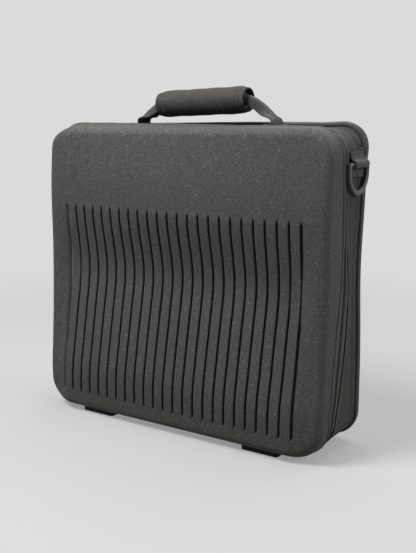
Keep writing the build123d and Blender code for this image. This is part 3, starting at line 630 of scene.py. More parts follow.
def plated(name, colour, roughness):
    """Plated steel: fine scratches in the shine and duller worn patches."""
    material, tree, shader, place = surface(name, colour, roughness, metallic=1.0)
    patches = group_node(tree, "worn_patches", Place=place, Patch=90.0, Amount=0.25)
    scratches = noise(tree, place, 2600.0, 2.0)
    dress(tree, shader, shaded(tree, colour, patches["Shade"]), scratches, 0.25, 0.00004)
    uneven_shine(tree, shader, patches["Patches"], roughness - 0.1, roughness + 0.2)
    return material


MATERIALS = {}


def make_materials():
    """Every finish of the case, made once from the panel's colours."""
    if MATERIALS:
        return MATERIALS
    make_groups()
    c = bpy.context.scene.case_colours
    hull = dict(grain=1000.0, depth=0.0004, roughness=0.66)
    MATERIALS.update(
        shell=vinyl("shell_vinyl", c.shell, 0.8, mottle=0.85, paint_groove_shade=True, **hull),
        back=vinyl("back_vinyl", c.shell, 0.3, mottle=0.5, **hull),
        welt=vinyl("welt_vinyl", c.welt, 0.1, 1500.0, roughness=0.5),
        grip=vinyl("grip_vinyl", c.grip, 0.75, 900.0, 0.0003, 0.66, patch=0.3, mottle=0.6),
        coil=vinyl("zip_coil", (0.022, 0.022, 0.022), 0.0, 3000.0, 0.00002, 0.38),
        rubber=vinyl("foot_rubber", (0.018, 0.018, 0.018), 0.3, 700.0, roughness=0.75),
        board=vinyl("stiff_board", (0.03, 0.03, 0.03), 0.0, roughness=0.6),
        ring=vinyl("ring_nylon", (0.075, 0.077, 0.075), 0.1, 2500.0, 0.00002, 0.36),
        nylon=woven("gusset_nylon", c.nylon, "ribbed_weave", 0.0012, 0.5, 0.35, 0.1, Rib=0.003, Shift=0.0),
        webbing=woven("webbing", c.webbing, "ribbed_weave", 0.001, 0.5, 0.35, Rib=0.0028),
        tape=woven("zip_tape", c.webbing, "plain_weave", 0.0002, 0.1, Thread=0.0008),
        pocket=woven("pocket_cloth", c.lining, "plain_weave", 0.0002, 0.0, Thread=0.0009),
        lining=brushed("brushed_lining", c.lining),
        foam=brushed("foam_core", (0.03, 0.03, 0.03), 900.0, 0.0006),
        thread=brushed("thread", c.thread, 5000.0, 0.00005, 0.3),
        slider=plated("slider_plate", c.metal, 0.38),
        rivet=plated("rivet_plate", (0.28, 0.28, 0.27), 0.42),
    )
    return MATERIALS


# ---------------------------------------------------------------- stitches
def stitch_row(points, outward, length=2.6, gap=1.2, radius=0.36, lift=0.18):
    """One grid of points per stitch along a line.

    Each stitch is an ellipsoid stretched along the line: its middle rises by lift, and both
    ends dip into the cloth.
    """
    points = np.asarray(points, float)
    outward = np.broadcast_to(np.asarray(outward, float), points.shape)
    run = run_lengths(points)
    count = max(1, int((run[-1] + gap) / (length + gap)))
    middles = (np.arange(count) + 0.5) * run[-1] / count
    up = unit(resampled(middles, run, outward))
    tangent = unit(resampled(middles + 0.1, run, points) - resampled(middles - 0.1, run, points))
    middle, up, side, tangent = (
        a[:, None, None] for a in (resampled(middles, run, points), up, np.cross(tangent, up), tangent)
    )
    t = np.linspace(-1, 1, 5)[None, :, None, None]
    turn = whole_turn(6)[None, None, :, None]
    line = middle + tangent * t * length / 2 + up * (lift - (lift + radius) * t**2 * 0.8)
    return line + radius * np.sqrt(1.06 - t**2) * (np.cos(turn) * side + np.sin(turn) * up)


def stitches(name, rows, body):
    """All the stitches of one seam as one object."""
    grid = np.concatenate(rows)
    count, rings, around = grid.shape[:3]
    starts = (np.arange(count) * rings * around)[:, None, None]
    sides = (grid_faces(rings, around, wrap_columns=True)[0][None] + starts).reshape(-1, 4)
    ends = (end_faces(rings, around)[None] + starts).reshape(-1, around)
    return finish(mesh_object(name, grid.reshape(-1, 3), [sides, ends]), body, "thread", "webbing")


def outline_line(inset, curve):
    """A closed line of points round the case and the direction out of it."""
    s = np.append(steps_along(WHOLE, 2.0), OUTLINE_LENGTH - 1e-6)
    point, outward = outline_at(s)
    place = point - inset * outward
    return laid(place, curve(place[:, 1])), laid(outward, 0.0)


# ---------------------------------------------------------------- front shell
RIM = 10.5
RIM_INSET = 16.0
FIRST_GROOVE = -178.25
GROOVE_PITCH = 15.5
GROOVES = 24
GROOVE_TOP = 286.0
GROOVE_FOOT = 29.0


def groove_relief(x, z, sizes):
    """Depth of the grooves, less the crown of the ribs and the lips along the grooves' edges."""
    number = np.clip(np.round((x - FIRST_GROOVE) / GROOVE_PITCH), 0, GROOVES - 1)
    off = np.abs(x - FIRST_GROOVE - number * GROOVE_PITCH)
    foot, top = smooth(z, GROOVE_FOOT - 1, GROOVE_FOOT + 5), smooth(z, GROOVE_TOP - 4, GROOVE_TOP + 2)
    half = sizes.groove_width / MM / 2
    cut = 1 - smooth(off, half * 0.42, half)
    across = np.clip((GROOVE_PITCH / 2 - off) / (GROOVE_PITCH / 2 - half), 0, 1)
    ribs = np.abs(x) < -FIRST_GROOVE + half
    crown = (1 - across**2) * sizes.rib_crown / MM * ribs
    lip = 0.25 * np.exp(-(((off - half * 1.25) / 0.7) ** 2))
    return foot * (1 - top) * (cut * sizes.groove_depth / MM - crown - lip)


def face_columns(sizes):
    """Where the face's columns stand: close together at each groove, and eight to each corner."""
    near = np.array([0.4, 0.62, 0.82, 1.0, 1.3]) * sizes.groove_width / MM / 2
    offsets = np.concatenate([-near[::-1], near, [4.6, GROOVE_PITCH / 2, GROOVE_PITCH - 4.6]])
    centres = FIRST_GROOVE + GROOVE_PITCH * np.arange(GROOVES)
    columns = (centres[:, None] + offsets[None, :]).reshape(-1)
    side = np.linspace(CORE[0], HALF_WIDTH - RIM_INSET, 9)
    columns = np.concatenate([columns[np.abs(columns) < CORE[0] - 0.25], side, -side])
    return np.unique(np.round(columns, 4))


def face_rows():
    """Heights of the face's rows: close together at the grooves' ends."""
    low, high = BOTTOM + CORNER_RADIUS, TOP - CORNER_RADIUS
    return np.unique(np.round(np.concatenate([
        np.linspace(BOTTOM + RIM_INSET, GROOVE_FOOT - 1.5, 4),
        np.linspace(GROOVE_FOOT - 1, GROOVE_FOOT + 5, 7),
        np.linspace(GROOVE_FOOT + 6.5, low, 4),
        np.linspace(low, GROOVE_TOP - 5, 70),
        np.linspace(GROOVE_TOP - 4, GROOVE_TOP + 2, 7),
        np.linspace(GROOVE_TOP + 5, high, 17),
        np.linspace(high, TOP - RIM_INSET, 7),
    ]), 4))


def face_layout(columns, rows):
    """The face's points in its rounded outline: corner squares are drawn into quarter discs."""
    x, z = np.meshgrid(columns, rows)
    reach = CORNER_RADIUS - RIM_INSET
    a = np.clip((np.abs(x) - CORE[0]) / reach, 0, 1)
    b = np.clip((np.abs(z - MIDDLE) - CORE[1]) / reach, 0, 1)
    round_x = np.sign(x) * (CORE[0] + reach * a * np.sqrt(1 - b**2 / 2))
    round_z = MIDDLE + np.sign(z - MIDDLE) * (CORE[1] + reach * b * np.sqrt(1 - a**2 / 2))
    return np.where(a > 0, round_x, x), np.where(b > 0, round_z, z)


def plate_loops(point, outward, rings):
    """Loops of points: the outline moved in by an inset and then drawn to the middle.

    Each ring gives an inset, a share of the way in to the middle and a depth over (x, z).
    """
    loops = []
    for inset, share, depth in rings:
        place = (point - inset * outward - CENTRE) * (1 - share) + CENTRE
        loops.append(laid(place, depth(place[:, 0], place[:, 1])))
    return np.stack(loops)


def settled(points):
    """The shell's top, settled by a few millimetres between the face and the seam."""
    x, y, z = points.T
    drop = np.clip(3.2 - 0.016 * x, 0, 5) * smooth(z, 368, 392) * (1 - smooth(y, -24, -11))
    return np.stack([x, y, z - drop], -1)


def front_shell(sizes):
    """The moulded cover: a ribbed face, a rounded rim, side walls and the inside of the wall.

    The face is a height over its outline. From the border the surface goes on along each
    border point's own outward direction: a quarter circle for the rim, straight back to the
    seam, round the edge and forward again inside, and then to a point in the middle.
    """
    x, z = face_layout(face_columns(sizes), face_rows())
    relief = groove_relief(x, z, sizes)
    face = laid(np.stack([x, z], -1), face_depth(x, z) + relief).reshape(-1, 3)
    loop = border_loop(*x.shape)
    border = face[loop][:, [0, 2]]
    outward = unit(border - CENTRE - np.clip(border - CENTRE, -CORE, CORE))
    wall, edge = shifted(face_depth, SHELL_WALL), shifted(face_depth, RIM)
    rings = [
        (RIM * (1 - math.sin(t)), 0, shifted(face_depth, RIM * (1 - math.cos(t))))
        for t in np.linspace(0, QUARTER, 10)
    ]
    rings += [(0, 0, between(edge, shifted(seam_depth, -1), share)) for share in (0.25, 0.5, 0.75)]
    rings += [(inset, 0, shifted(seam_depth, back)) for inset, back in (
        (0, -1.0), (0.4, -0.3), (1.2, 0.0), (SHELL_WALL - 0.6, 0.0), (SHELL_WALL, -0.8),
    )]
    rings += [(SHELL_WALL, 0, edge), (SHELL_WALL + 3, 0, shifted(wall, 2.5)), (RIM_INSET, 0, wall)]
    rings += [(RIM_INSET, share, wall) for share in np.linspace(0.1, 0.98, 12)]
    skirt = plate_loops(border + RIM_INSET * outward, outward, rings)
    count, start = len(loop), len(face)
    first = np.arange(count) + start
    joint = np.stack([loop, np.roll(loop, -1), np.roll(first, -1), first], -1)
    strip, _ = grid_faces(len(rings), count, wrap_columns=True, start=start)
    last = first[None, :] + (len(rings) - 1) * count
    points = settled(np.concatenate([face, skirt.reshape(-1, 3)]))
    shell = mesh_object("moulded_shell", points, [grid_faces(*x.shape)[0], joint, strip, last])
    # Each face point's share of the groove depth, kept for the painted shade in the grooves.
    groove_shade = np.zeros(len(points), np.float32)
    groove_shade[:start] = np.clip(relief / (sizes.groove_depth / MM), 0, 1).reshape(-1)
    shell.data.attributes.new("groove_shade", "FLOAT", "POINT").data.foreach_set("value", groove_shade)
    return shell


class CASE_OT_shell(bpy.types.Operator):
    """Builds the ribbed front shell with its rim and walls"""

    bl_idname = "case.shell"
    bl_label = "Front shell"

    def execute(self, context):
        shell = front_shell(context.scene.case_sizes)
        finish(shell, "cover", "shell", "shell", "front_shell")
        return {"FINISHED"}


# ---------------------------------------------------------------- welts and bindings
def piping(grid, s):
    """Slight unevenness along a sewn edge: long waves a fraction of a millimetre high."""
    return pushed(grid, s, (0.16 * np.sin(s / 23.0) + 0.1 * np.sin(s / 7.3 + 1.3))[:, None])


class CASE_OT_welts(bpy.types.Operator):
    """Builds the welt of the cover and the bindings of the gusset and the back"""

    bl_idname = "case.welts"
    bl_label = "Welts and bindings"

    def execute(self, context):
        welt = band_section(-0.9, 4.0, shifted(cover_seam, 0.1), shifted(cover_seam, 4.0), 1.5, 3, 4)
        edge = band_section(
            GUSSET_INSET - 1.0, GUSSET_INSET + 0.2, shifted(gusset_seam, -0.5),
            shifted(gusset_seam, 4.5), 0.5, 4,
        )
        rear = band_section(-0.3, 5.0, at_depth(BINDING_FRONT_Y), at_depth(PANEL_FRONT_Y), 1.6, 3, 4)
        build_bands((
            ("cover_welt", WHOLE, welt, 4.0, piping, "cover", "welt", "welt", "shell_welt"),
            ("gusset_binding", WHOLE, edge, 4.0, slack(piping), "case", "tape", "welt", "gusset_edge_tape"),
            ("back_edge_binding", WHOLE, rear, 4.0, slack(piping), "case", "welt", "nylon", "back_binding"),
        ))
        return {"FINISHED"}


# ---------------------------------------------------------------- gusset
def cloth_swell(grid, s):
    """Soft cloth between its seams: shallow long swellings that fade at both edges."""
    share = np.linspace(0, 1, grid.shape[1])
    rise = np.sin(math.pi * np.clip(share * 2, 0, 1)) ** 0.8 * (share < 0.5)
    swell = 0.55 + 0.45 * np.sin(s / 61.0 + 0.7) * np.sin(s / 23.0 + 2.0)
    return pushed(grid, s, rise[None, :] * swell[:, None] * 1.1)


FOLD_TURN = 215.0
FOLD_PAST_CORNER = 2.7


def blend_fold(strip):
    """Bakes the fold strip's placement into its points.
    """
    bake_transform(strip)


class CASE_OT_gusset(bpy.types.Operator):
    """Builds the woven gusset and the strip that the cover folds on"""

    bl_idname = "case.gusset"
    bl_label = "Gusset"

    def execute(self, context):
        main = band_section(GUSSET_INSET, GUSSET_INNER, gusset_seam, at_depth(BACK_ZIP_FRONT_Y), 0.7, 10)
        rear = band_section(
            GUSSET_INSET, GUSSET_INNER, at_depth(BACK_ZIP_FRONT_Y + 0.05), at_depth(GUSSET_BACK_Y), 0.5, 4, 2
        )
        rest = (BACK_ZIP[1], OUTLINE_LENGTH + BACK_ZIP[0])
        build_bands((
            ("gusset_cloth", WHOLE, main, 4.0, slack(cloth_swell), "case", "nylon", "nylon", "gusset"),
            ("gusset_rear_cloth", rest, rear, 4.0, slack(), "case", "nylon", "nylon"),
        ))
        section = band_section(
            GUSSET_INSET, GUSSET_INSET + 2.0, shifted(cover_seam, 3.4), shifted(gusset_seam, -0.2), 0.6, 14, 2
        )
        turn = OUTLINE_STARTS[6] + FOLD_TURN - BOTTOM - CORNER_RADIUS
        for name, run, slope in (
            ("fold_strip_low", (OUTLINE_STARTS[5] + FOLD_PAST_CORNER, turn), 0.125),
            ("fold_strip_high", (turn, OUTLINE_LENGTH + FOLD_PAST_CORNER), -0.05),
        ):
            fold = finish(band(name, run, section), None, "nylon", "nylon", "hinge_strip")
            blend_fold(fold)
        return {"FINISHED"}


# ---------------------------------------------------------------- zips
COIL_GAP = 0.55
COIL_PITCH = 1.5


def zip_lift(point):
    """How far the main zip bulges out of its recess: along the right side, clear of the slider."""
    return 3.5 * smooth(point[:, 0], 178, 206) * smooth(point[:, 1], 12, 40)


def tape_grid(s, front, back, rise, columns=24):
    """A tape's closed section round the outline; rise is the share of the lift each line takes."""
    point, outward = outline_at(s)
    lift = zip_lift(point)[:, None]
    shares = np.linspace(0, 1, columns)
    lines = []
    for inset, order in ((TAPE_INSET, shares), (TAPE_INNER, shares[::-1])):
        for share in order:
            place = point - inset * outward
            y = between(front, back, share)(place[:, 1])
            lines.append(laid(place + outward * lift * rise(y, place[:, 1])[:, None], y))
    return np.stack(lines, 1)


def coil_grid(s, curve, side, lifted):
    """Half of a coil: its inner edge and its height rise and fall once for every tooth."""
    tooth = np.sin(2 * math.pi * s / COIL_PITCH)
    point, outward = outline_at(s)
    base = TAPE_INSET - (zip_lift(point) if lifted else np.zeros(len(s)))
    top = base - 1.15 - 0.12 * tooth
    inner_y = side * (0.34 + 0.2 * (1 + tooth))
    lines = []
    for y, inset in ((side * 2.3, base), (side * 2.3, top + 0.5), (side * 1.45, top),
                     (inner_y, top + 0.35), (inner_y, base + 0.1)):
        place = point - inset[:, None] * outward
        lines.append(laid(place, curve(place[:, 1]) + y))
    return np.stack(lines, 1)


def after_welt(y, z):
    """The cover's tape stays low beside the welt and then rises."""
    return smooth(y - cover_seam(z), 3.4, 6.4)


def before_gusset(y, z):
    """The body's tape comes down to the gusset's seam, more steeply above the waist."""
    gap = 0.9 + 4.0 * (1 - smooth(z, 232, 268))
    return smooth((gusset_seam(z) - y) / gap, 0.1, 1.0)


class CASE_OT_zips(bpy.types.Operator):
    """Builds both zips: tapes and toothed coils"""

    bl_idname = "case.zips"
    bl_label = "Zips"

    def execute(self, context):
        s = steps_along(MAIN_ZIP, 4.0)
        for name, front, back, rise, body in (
            ("cover", shifted(cover_seam, -4.5), shifted(zip_line, -COIL_GAP), after_welt, "cover"),
            ("body", shifted(zip_line, COIL_GAP), shifted(gusset_seam, 4.5), before_gusset, "case"),
        ):
            tape = tube(f"{name}_tape", tape_grid(s, front, back, rise))
            finish(tape, body, "tape", "webbing", f"{name}_zip_tape")
        for name, front, back in (
            ("front", BACK_ZIP_FRONT_Y + 0.2, BACK_ZIP_Y - COIL_GAP),
            ("rear", BACK_ZIP_Y + COIL_GAP, GUSSET_BACK_Y),
        ):
            section = band_section(TAPE_INSET, TAPE_INNER, at_depth(front), at_depth(back), 0.3, 3, 1)
            tape = band(f"back_tape_{name}", BACK_ZIP, section, 5.0, slack())
            finish(tape, "case", "tape", "webbing", f"back_zip_tape_{name}")
        back_line = at_depth(BACK_ZIP_Y)
        for name, run, curve, side, body, nodes in (
            ("cover_coil", MAIN_ZIP, zip_line, -1, "cover", ["cover_zip_coil"]),
            ("body_coil", MAIN_ZIP, zip_line, 1, "case", ["body_zip_coil"]),
            ("back_coil_front", BACK_ZIP, back_line, -1, "case", ["back_zip_coils"]),
            ("back_coil_rear", BACK_ZIP, back_line, 1, "case", []),
        ):
            grid = coil_grid(steps_along(run, 0.5), curve, side, run is MAIN_ZIP)
            grid = grid if run is MAIN_ZIP else waist(grid)
            finish(tube(name, grid), body, "coil", "coil", *nodes)
        return {"FINISHED"}


# ---------------------------------------------------------------- plates: back, pads, linings
def closed_plate(name, rings, spacing=6.0, shape=None):
    """A tray or plate from loops that begin and end in the middle, closed by a face at each end."""
    grid = plate_loops(*outline_at(steps_along(WHOLE, spacing)), rings)
    grid = grid if shape is None else shape(grid)
    rows, columns = grid.shape[:2]
    faces = [grid_faces(rows, columns, wrap_columns=True)[0], end_faces(rows, columns)]
    flat = grid.reshape(-1, 3)[:, [0, 2]] * MM
    return mesh_object(name, grid.reshape(-1, 3), faces, [flat[f] for f in faces])


def slab(name, sheet, thickness):
    """A sheet of points and its copy set back by the thickness, joined round their border."""
    rows, columns = sheet.shape[:2]
    count = rows * columns
    front = grid_faces(rows, columns)[0]
    loop = border_loop(rows, columns)
    after = np.roll(loop, -1)
    faces = [front, front[:, ::-1] + count, np.stack([loop, after, after + count, loop + count], -1)]
    points = np.concatenate([sheet, sheet + [0, thickness, 0]]).reshape(-1, 3)
    flat = points[:, [0, 2]] * MM
    return mesh_object(name, points, faces, [flat[f] for f in faces])


def crowned(x, z):
    """The back panel's outside: a millimetre lower along its edge."""
    return BACK_Y - 1.1 + 1.1 * inner_rise(x, z, 9, 14)


def cushion(x, z):
    """The back pad's face: crowned between its edges, with sewn channels across it."""
    edge = inner_rise(x, z, 10, 26)
    dip = sum(np.exp(-(((z - at) / 5.0) ** 2)) for at in (113.0, 200.0, 287.0))
    wrinkle = 0.3 * np.sin(x / 17 + z / 29) * np.sin(z / 13 - x / 41)
    return 43.6 - 1.8 * edge * (1 - 0.85 * np.clip(dip, 0, 1)) + wrinkle * edge


class CASE_OT_back(bpy.types.Operator):
    """Builds the back panel and the divider and pad in front of it"""

    bl_idname = "case.back"
    bl_label = "Back and pad"

    def execute(self, context):
        inside = at_depth(PANEL_FRONT_Y)
        rings = [(30, 0.98, inside), (30, 0.5, inside), (8, 0, inside), (0.6, 0, inside)]
        rings += [
            (2.2 * (1 - math.cos(t)), 0, at_depth(BACK_Y - 3.3 + 2.2 * math.sin(t)))
            for t in np.linspace(0, QUARTER, 5)
        ]
        rings += [(inset, 0, crowned) for inset in (5, 8, 9, 10, 12, 15, 19, 24)]
        rings += [(24, share, crowned) for share in (0.1, 0.2, 0.35, 0.5, 0.7, 0.85, 0.98)]
        panel = closed_plate("back_cover", rings, 6.0, waist)
        finish(panel, "case", "back", "shell", "back_panel")

        rings = [(TAPE_INSET, share, at_depth(50.3)) for share in (0.98, 0.5, 0)]
        rings += [(TAPE_INSET, share, at_depth(51.5)) for share in (0, 0.5, 0.98)]
        wall = closed_plate("pocket_wall", rings, 12.0, waist)
        finish(wall, "case", "pocket", "lining", "pocket_divider")

        rear = at_depth(47.9)
        rings = [(9.6, 0.98, rear), (9.6, 0.5, rear), (11.0, 0, rear)]
        rings += [(9.6, 0, at_depth(46.9)), (9.6, 0, at_depth(44.9))]
        rings += [(inset, 0, cushion) for inset in (11.0, 14, 18, 22, 26, 30)]
        rings += [(30, share, cushion) for share in np.linspace(0.06, 0.98, 26)]
        pad = closed_plate("back_cushion", rings, 5.0)
        finish(pad, "case", "lining", "foam", "back_pad")
        return {"FINISHED"}


TRAY_OUTER = SHELL_WALL + 0.4
TRAY_INNER = TRAY_OUTER + 5.0
POCKET_HALF = 125.0
POCKET_LOW, POCKET_HIGH = 60.0, 230.0
BINDING_LOW = 214.0


def belt_swell(grid, s):
    """The foam belt's inner face stands out a little in long waves."""
    share = np.arange(grid.shape[1]) / grid.shape[1]
    rise = 0.9 * np.sin(math.pi * np.clip((share - 0.55) / 0.4, 0, 1)) * np.sin(s / 37.0)[:, None] ** 2
    return pushed(grid, s, rise * 0.6)


def belt_section(cuts=6):
    """The foam belt's section, with its inner face cut into even steps."""
    section = band_section(
        10.4, CAVITY_INSET, shifted(cover_seam, 0.7), at_depth(LINER_BACK_Y - 0.2), 2.6, 1, 4
    )
    head, tail = section[:-5], section[-5:]
    for share in np.arange(1, cuts) / cuts:
        head.append((CAVITY_INSET, between(section[-6][1], tail[0][1], share)))
    return head + tail


def pocket_sheet(low, high, rows, lift):
    """The pocket's cloth over the tray: fixed at its edges and bellied in soft waves between."""
    x, z = np.meshgrid(
        np.linspace(-POCKET_HALF, POCKET_HALF, 41), np.linspace(low, high, rows), indexing="ij"
    )
    edge = smooth(POCKET_HALF - np.abs(x), 0, 22) * smooth(z - POCKET_LOW, 0, 30)
    sag = edge * (0.5 + 0.35 * np.sin(x / 19 + z / 31) * np.sin(z / 17))
    return np.stack([x, face_depth(x, z) + TRAY_INNER + 0.3 + sag + lift, z], -1)


class CASE_OT_linings(bpy.types.Operator):
    """Builds the foam tray of the cover, the foam belt of the body and the inner pocket"""

    bl_idname = "case.linings"
    bl_label = "Linings"

    def execute(self, context):
        outer, floor = shifted(face_depth, TRAY_OUTER), shifted(face_depth, TRAY_INNER)
        rings = [(20, share, outer) for share in (0.98, 0.6, 0.3, 0.0)]
        rings += [(LINER_INSET + 4, 0, shifted(outer, 4)), (LINER_INSET, 0, shifted(face_depth, 14.0))]
        rings += [(inset, 0, shifted(seam_depth, back)) for inset, back in (
            (LINER_INSET, -3), (LINER_INSET + 1, -0.8), (LINER_INSET + 3, -0.1),
            (CAVITY_INSET - 4, -0.1), (CAVITY_INSET - 1.5, -0.9), (CAVITY_INSET - 0.2, -2.6),
        )]
        rings += [(CAVITY_INSET + 0.3, 0, between(shifted(floor, 6), seam_depth, 0.5))]
        rings += [(CAVITY_INSET + inset, 0, shifted(floor, back)) for inset, back in ((0, 6), (2, 1.5), (6, 0))]
        rings += [(CAVITY_INSET + 10, share, floor) for share in np.linspace(0, 0.98, 16)]
        tray = closed_plate("cover_padding", rings, 6.0)
        finish(tray, "cover", "lining", "foam", "cover_liner")

        belt = band("body_padding", WHOLE, belt_section(), 5.0, slack(belt_swell))
        finish(belt, "case", "lining", "foam", "body_liner")

        pocket = slab("pocket_front", pocket_sheet(POCKET_LOW, POCKET_HIGH, 35, 0.0), 1.0)
        finish(pocket, "cover", "pocket", "lining", "cover_pocket")
        binding = slab("pocket_binding", pocket_sheet(BINDING_LOW, POCKET_HIGH, 4, 1.1), 1.1)
        finish(binding, "cover", "webbing", "webbing", "cover_pocket_binding")
        return {"FINISHED"}


# ---------------------------------------------------------------- handle
GRIP_LENGTH = 132.0
GRIP_END = GRIP_LENGTH / 2
GRIP_RADIUS = 17.0
GRIP_LIP = 1.2
CORE_END = 59.0
CORE_RADIUS = 14.6
BASE_X = 105.0
STRAP_WIDTH = 28.0
STRAP_THICK = 2.6
ANCHOR_WIDTH = 24.0
ANCHOR = np.array([
    [-20, 392.6], [-12, 392.9], [-5, 393.0], [0, 393.1], [6, 393.0], [14, 392.8], [21, 392.5],
])
STRAP_LINE = np.array([
    [-97.5, 393.6], [-98.0, 398.0], [-96.5, 402.5], [-92.0, 407.5], [-84.0, 413.0],
    [-76.0, 418.5], [-66.0, 422.6], [-58.0, 424.2], [58.0, 430.2], [66.0, 430.0],
    [76.0, 427.0], [86.0, 421.3], [96.0, 413.5], [103.5, 407.0], [107.0, 401.5],
    [108.0, 397.5], [108.0, 393.6],
])


def grip_height(x):
    """The grip's middle line, a little higher at its right end."""
    return 422.0 + 0.043 * x


def smooth_line(points, count, rounds):
    """A bent line as evenly spaced points, with its corners rounded by repeated averaging."""
    run = run_lengths(points)
    line = resampled(np.linspace(0, run[-1], count), run, points)
    kernel = np.array([1, 4, 6, 4, 1]) / 16
    for _ in range(rounds):
        for k in (0, 1):
            line[2:-2, k] = np.convolve(line[:, k], kernel, "valid")
    return line


def carried(line, section, y):
    """A section, (across, out) for each point of the line, carried along it and square to it."""
    normal = left_of(unit(np.gradient(line, axis=0)))
    place = line[:, None] + section[..., 1:2] * normal[:, None]
    return laid(place, y + section[..., 0])


def folded_ribbon(name, line, fold, radius=4.2, columns=19):
    """The strap along its line, folded down lengthwise where fold is 1.

    Across the strap the surface turns through an angle that grows evenly over the rounded
    ridge and then stays, so both legs hang straight. Its edges are a little thicker.
    """
    half_width = STRAP_WIDTH / 2
    across = np.linspace(-half_width, half_width, columns)[None, :]
    bend = (fold * math.radians(80) + 1e-4)[:, None]
    flat = np.minimum(np.abs(across), radius * bend)
    angle = flat / radius
    rest = np.abs(across) - flat
    side = np.sign(across) * (radius * np.sin(angle) + rest * np.cos(angle))
    drop = -(radius * (1 - np.cos(angle)) + rest * np.sin(angle))
    edge = 1 + 0.18 * smooth(np.abs(across), half_width - 3.5, half_width - 1.2)
    edge = edge * np.sqrt(np.clip(1.02 - (np.abs(across) / half_width) ** 24, 0.05, 1))
    half = STRAP_THICK / 2 * edge
    lean = half * np.sign(across) * np.sin(angle)
    rise = half * np.cos(angle)
    upper = np.stack([side + lean, drop + rise], -1)
    lower = np.stack([side - lean, drop - rise], -1)
    return tube(name, carried(line, np.concatenate([upper, lower[:, ::-1]], 1), HANDLE_Y))


def ribbon(name, line, y, width, thick):
    """A flat strap along a line, square to it, with rounded and slightly thicker edges."""
    across = np.linspace(-width / 2 + 0.8, width / 2 - 0.8, 9)
    edge = 1 + 0.16 * smooth(np.abs(across), width / 2 - 4, width / 2 - 1.2)
    top = np.stack([across, thick / 2 * edge], -1)
    tip = np.array([[width / 2, thick * 0.3], [width / 2 + 0.25, 0], [width / 2, -thick * 0.3]])
    section = np.concatenate([top, tip, -top, -tip])
    return tube(name, carried(line, np.broadcast_to(section, (len(line), *section.shape)), y))


def grip_seam(turn):
    """Distance of the grip's end seams from its middle, wavering round it."""
    return 55.5 - 2.5 * np.sin(turn) + 0.8 * np.cos(2 * turn)


def grip_shape(along, turn):
    """Radius of the grip: full in the middle, drawn in at its sewn ends, with soft creases."""
    draw = 1 - 0.1 * smooth(np.abs(along) / GRIP_END, 0.86, 1.0)
    crease = 0.35 * np.sin(along / 6.1 + 2 * np.sin(turn)) * np.sin(turn * 2 + along / 31.0)
    seam = -0.9 * np.exp(-(((np.abs(along) - grip_seam(turn)) / 1.3) ** 2))
    below = (turn + math.pi / 2 + math.pi) % (2 * math.pi) - math.pi
    return GRIP_RADIUS * draw + crease + seam - 0.8 * np.exp(-((below / 0.09) ** 2))


def round_grip(x, radius, turn):
    """Points round the grip's middle line, at a radius from it."""
    x = np.broadcast_to(x, np.broadcast_shapes(np.shape(x), np.shape(radius), np.shape(turn)))
    return np.stack([x, HANDLE_Y + radius * np.cos(turn), grip_height(x) + radius * np.sin(turn)], -1)


def grip_end(side, edge):
    """The rolled lip of one end, half a circle inwards, and the cover's inside behind it."""
    w = np.linspace(0, math.pi, 6)[1:]
    x = np.append(side * (GRIP_END + GRIP_LIP * np.sin(w)), side * 58.0)
    radius = edge - np.append(GRIP_LIP * (1 - np.cos(w)), 2.6)[:, None]
    return np.repeat(x[:, None], len(edge), 1), radius


class CASE_OT_handle(bpy.types.Operator):
    """Builds the webbing strap, the padded grip, its core and the anchors"""

    bl_idname = "case.handle"
    bl_label = "Handle"

    def execute(self, context):
        line = smooth_line(STRAP_LINE, 170, 5)
        fold = 1 - smooth(np.abs(line[:, 0]), 74, 100) * smooth(-line[:, 1], -424, -398)
        strap = folded_ribbon("webbing_strap", line, fold)
        finish(strap, None, "webbing", "webbing", "handle_strap")
        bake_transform(strap)

        ends = np.linspace(-GRIP_END, -46, 16)
        along = np.concatenate([ends, np.linspace(-44, 44, 46), -ends[::-1]])
        turn = whole_turn(48)
        a, t = np.meshgrid(along, turn, indexing="ij")
        radius = grip_shape(a, t)
        (left_x, left), (right_x, right) = grip_end(-1, radius[0]), grip_end(1, radius[-1])
        x = np.concatenate([left_x[::-1], a, right_x])
        radius = np.concatenate([left[::-1], radius, right])
        grip = tube("padded_grip", round_grip(x, radius, turn), wrap_rows=True)
        finish(grip, "handle", "grip", "grip_cloth", "handle_grip")

        along = np.linspace(-CORE_END, CORE_END, 9)
        x = np.concatenate([along, along[::-1]])[:, None]
        radius = np.repeat([CORE_RADIUS, 0.2], len(along))[:, None]
        core = tube("grip_core", round_grip(x, radius, turn), wrap_rows=True)
        finish(core, "handle", "foam", "foam", "handle_core")

        for side, name in SIDES:
            x, z = (ANCHOR[::side] + [BASE_X, 0]).T * [[side], [1]]
            fine = np.linspace(x[0], x[-1], 25)
            line = np.stack([fine, np.interp(fine, x, z)], -1)
            patch = ribbon(f"anchor_patch_{name}", line, HANDLE_Y, ANCHOR_WIDTH, 2.0)
            finish(patch, "case", "webbing", "webbing", f"handle_anchor_{name}")
        return {"FINISHED"}


# ---------------------------------------------------------------- side tabs and rings
RING_X = 216.0
RING_Y = 27.0
RING_Z = 351.0
RING_HALF = 24.5
RING_ARM = 9.0
RING_CORNER = 4.0
TAB_Y = 29.0
TAB_WIDTH = 38.0
TAB_REACH = 3.95
TAB_ABOVE = [[211.8, 365.4], [212.1, 362.0], [213.4, 358.6], [215.8, 356.0]]
TAB_BELOW = [[212.4, 345.6], [211.8, 343.0], [211.7, 340.0], [211.7, 335.6]]


def tab_path():
    """The tab's middle line: down the gusset, round the ring's bar and down again below it."""
    turn = np.radians(np.linspace(58, -118, 13))
    round_bar = [RING_X, RING_Z] + TAB_REACH * np.stack([np.cos(turn), np.sin(turn)], -1)
    return smooth_line(np.concatenate([TAB_ABOVE, round_bar, TAB_BELOW]), 76, 1)


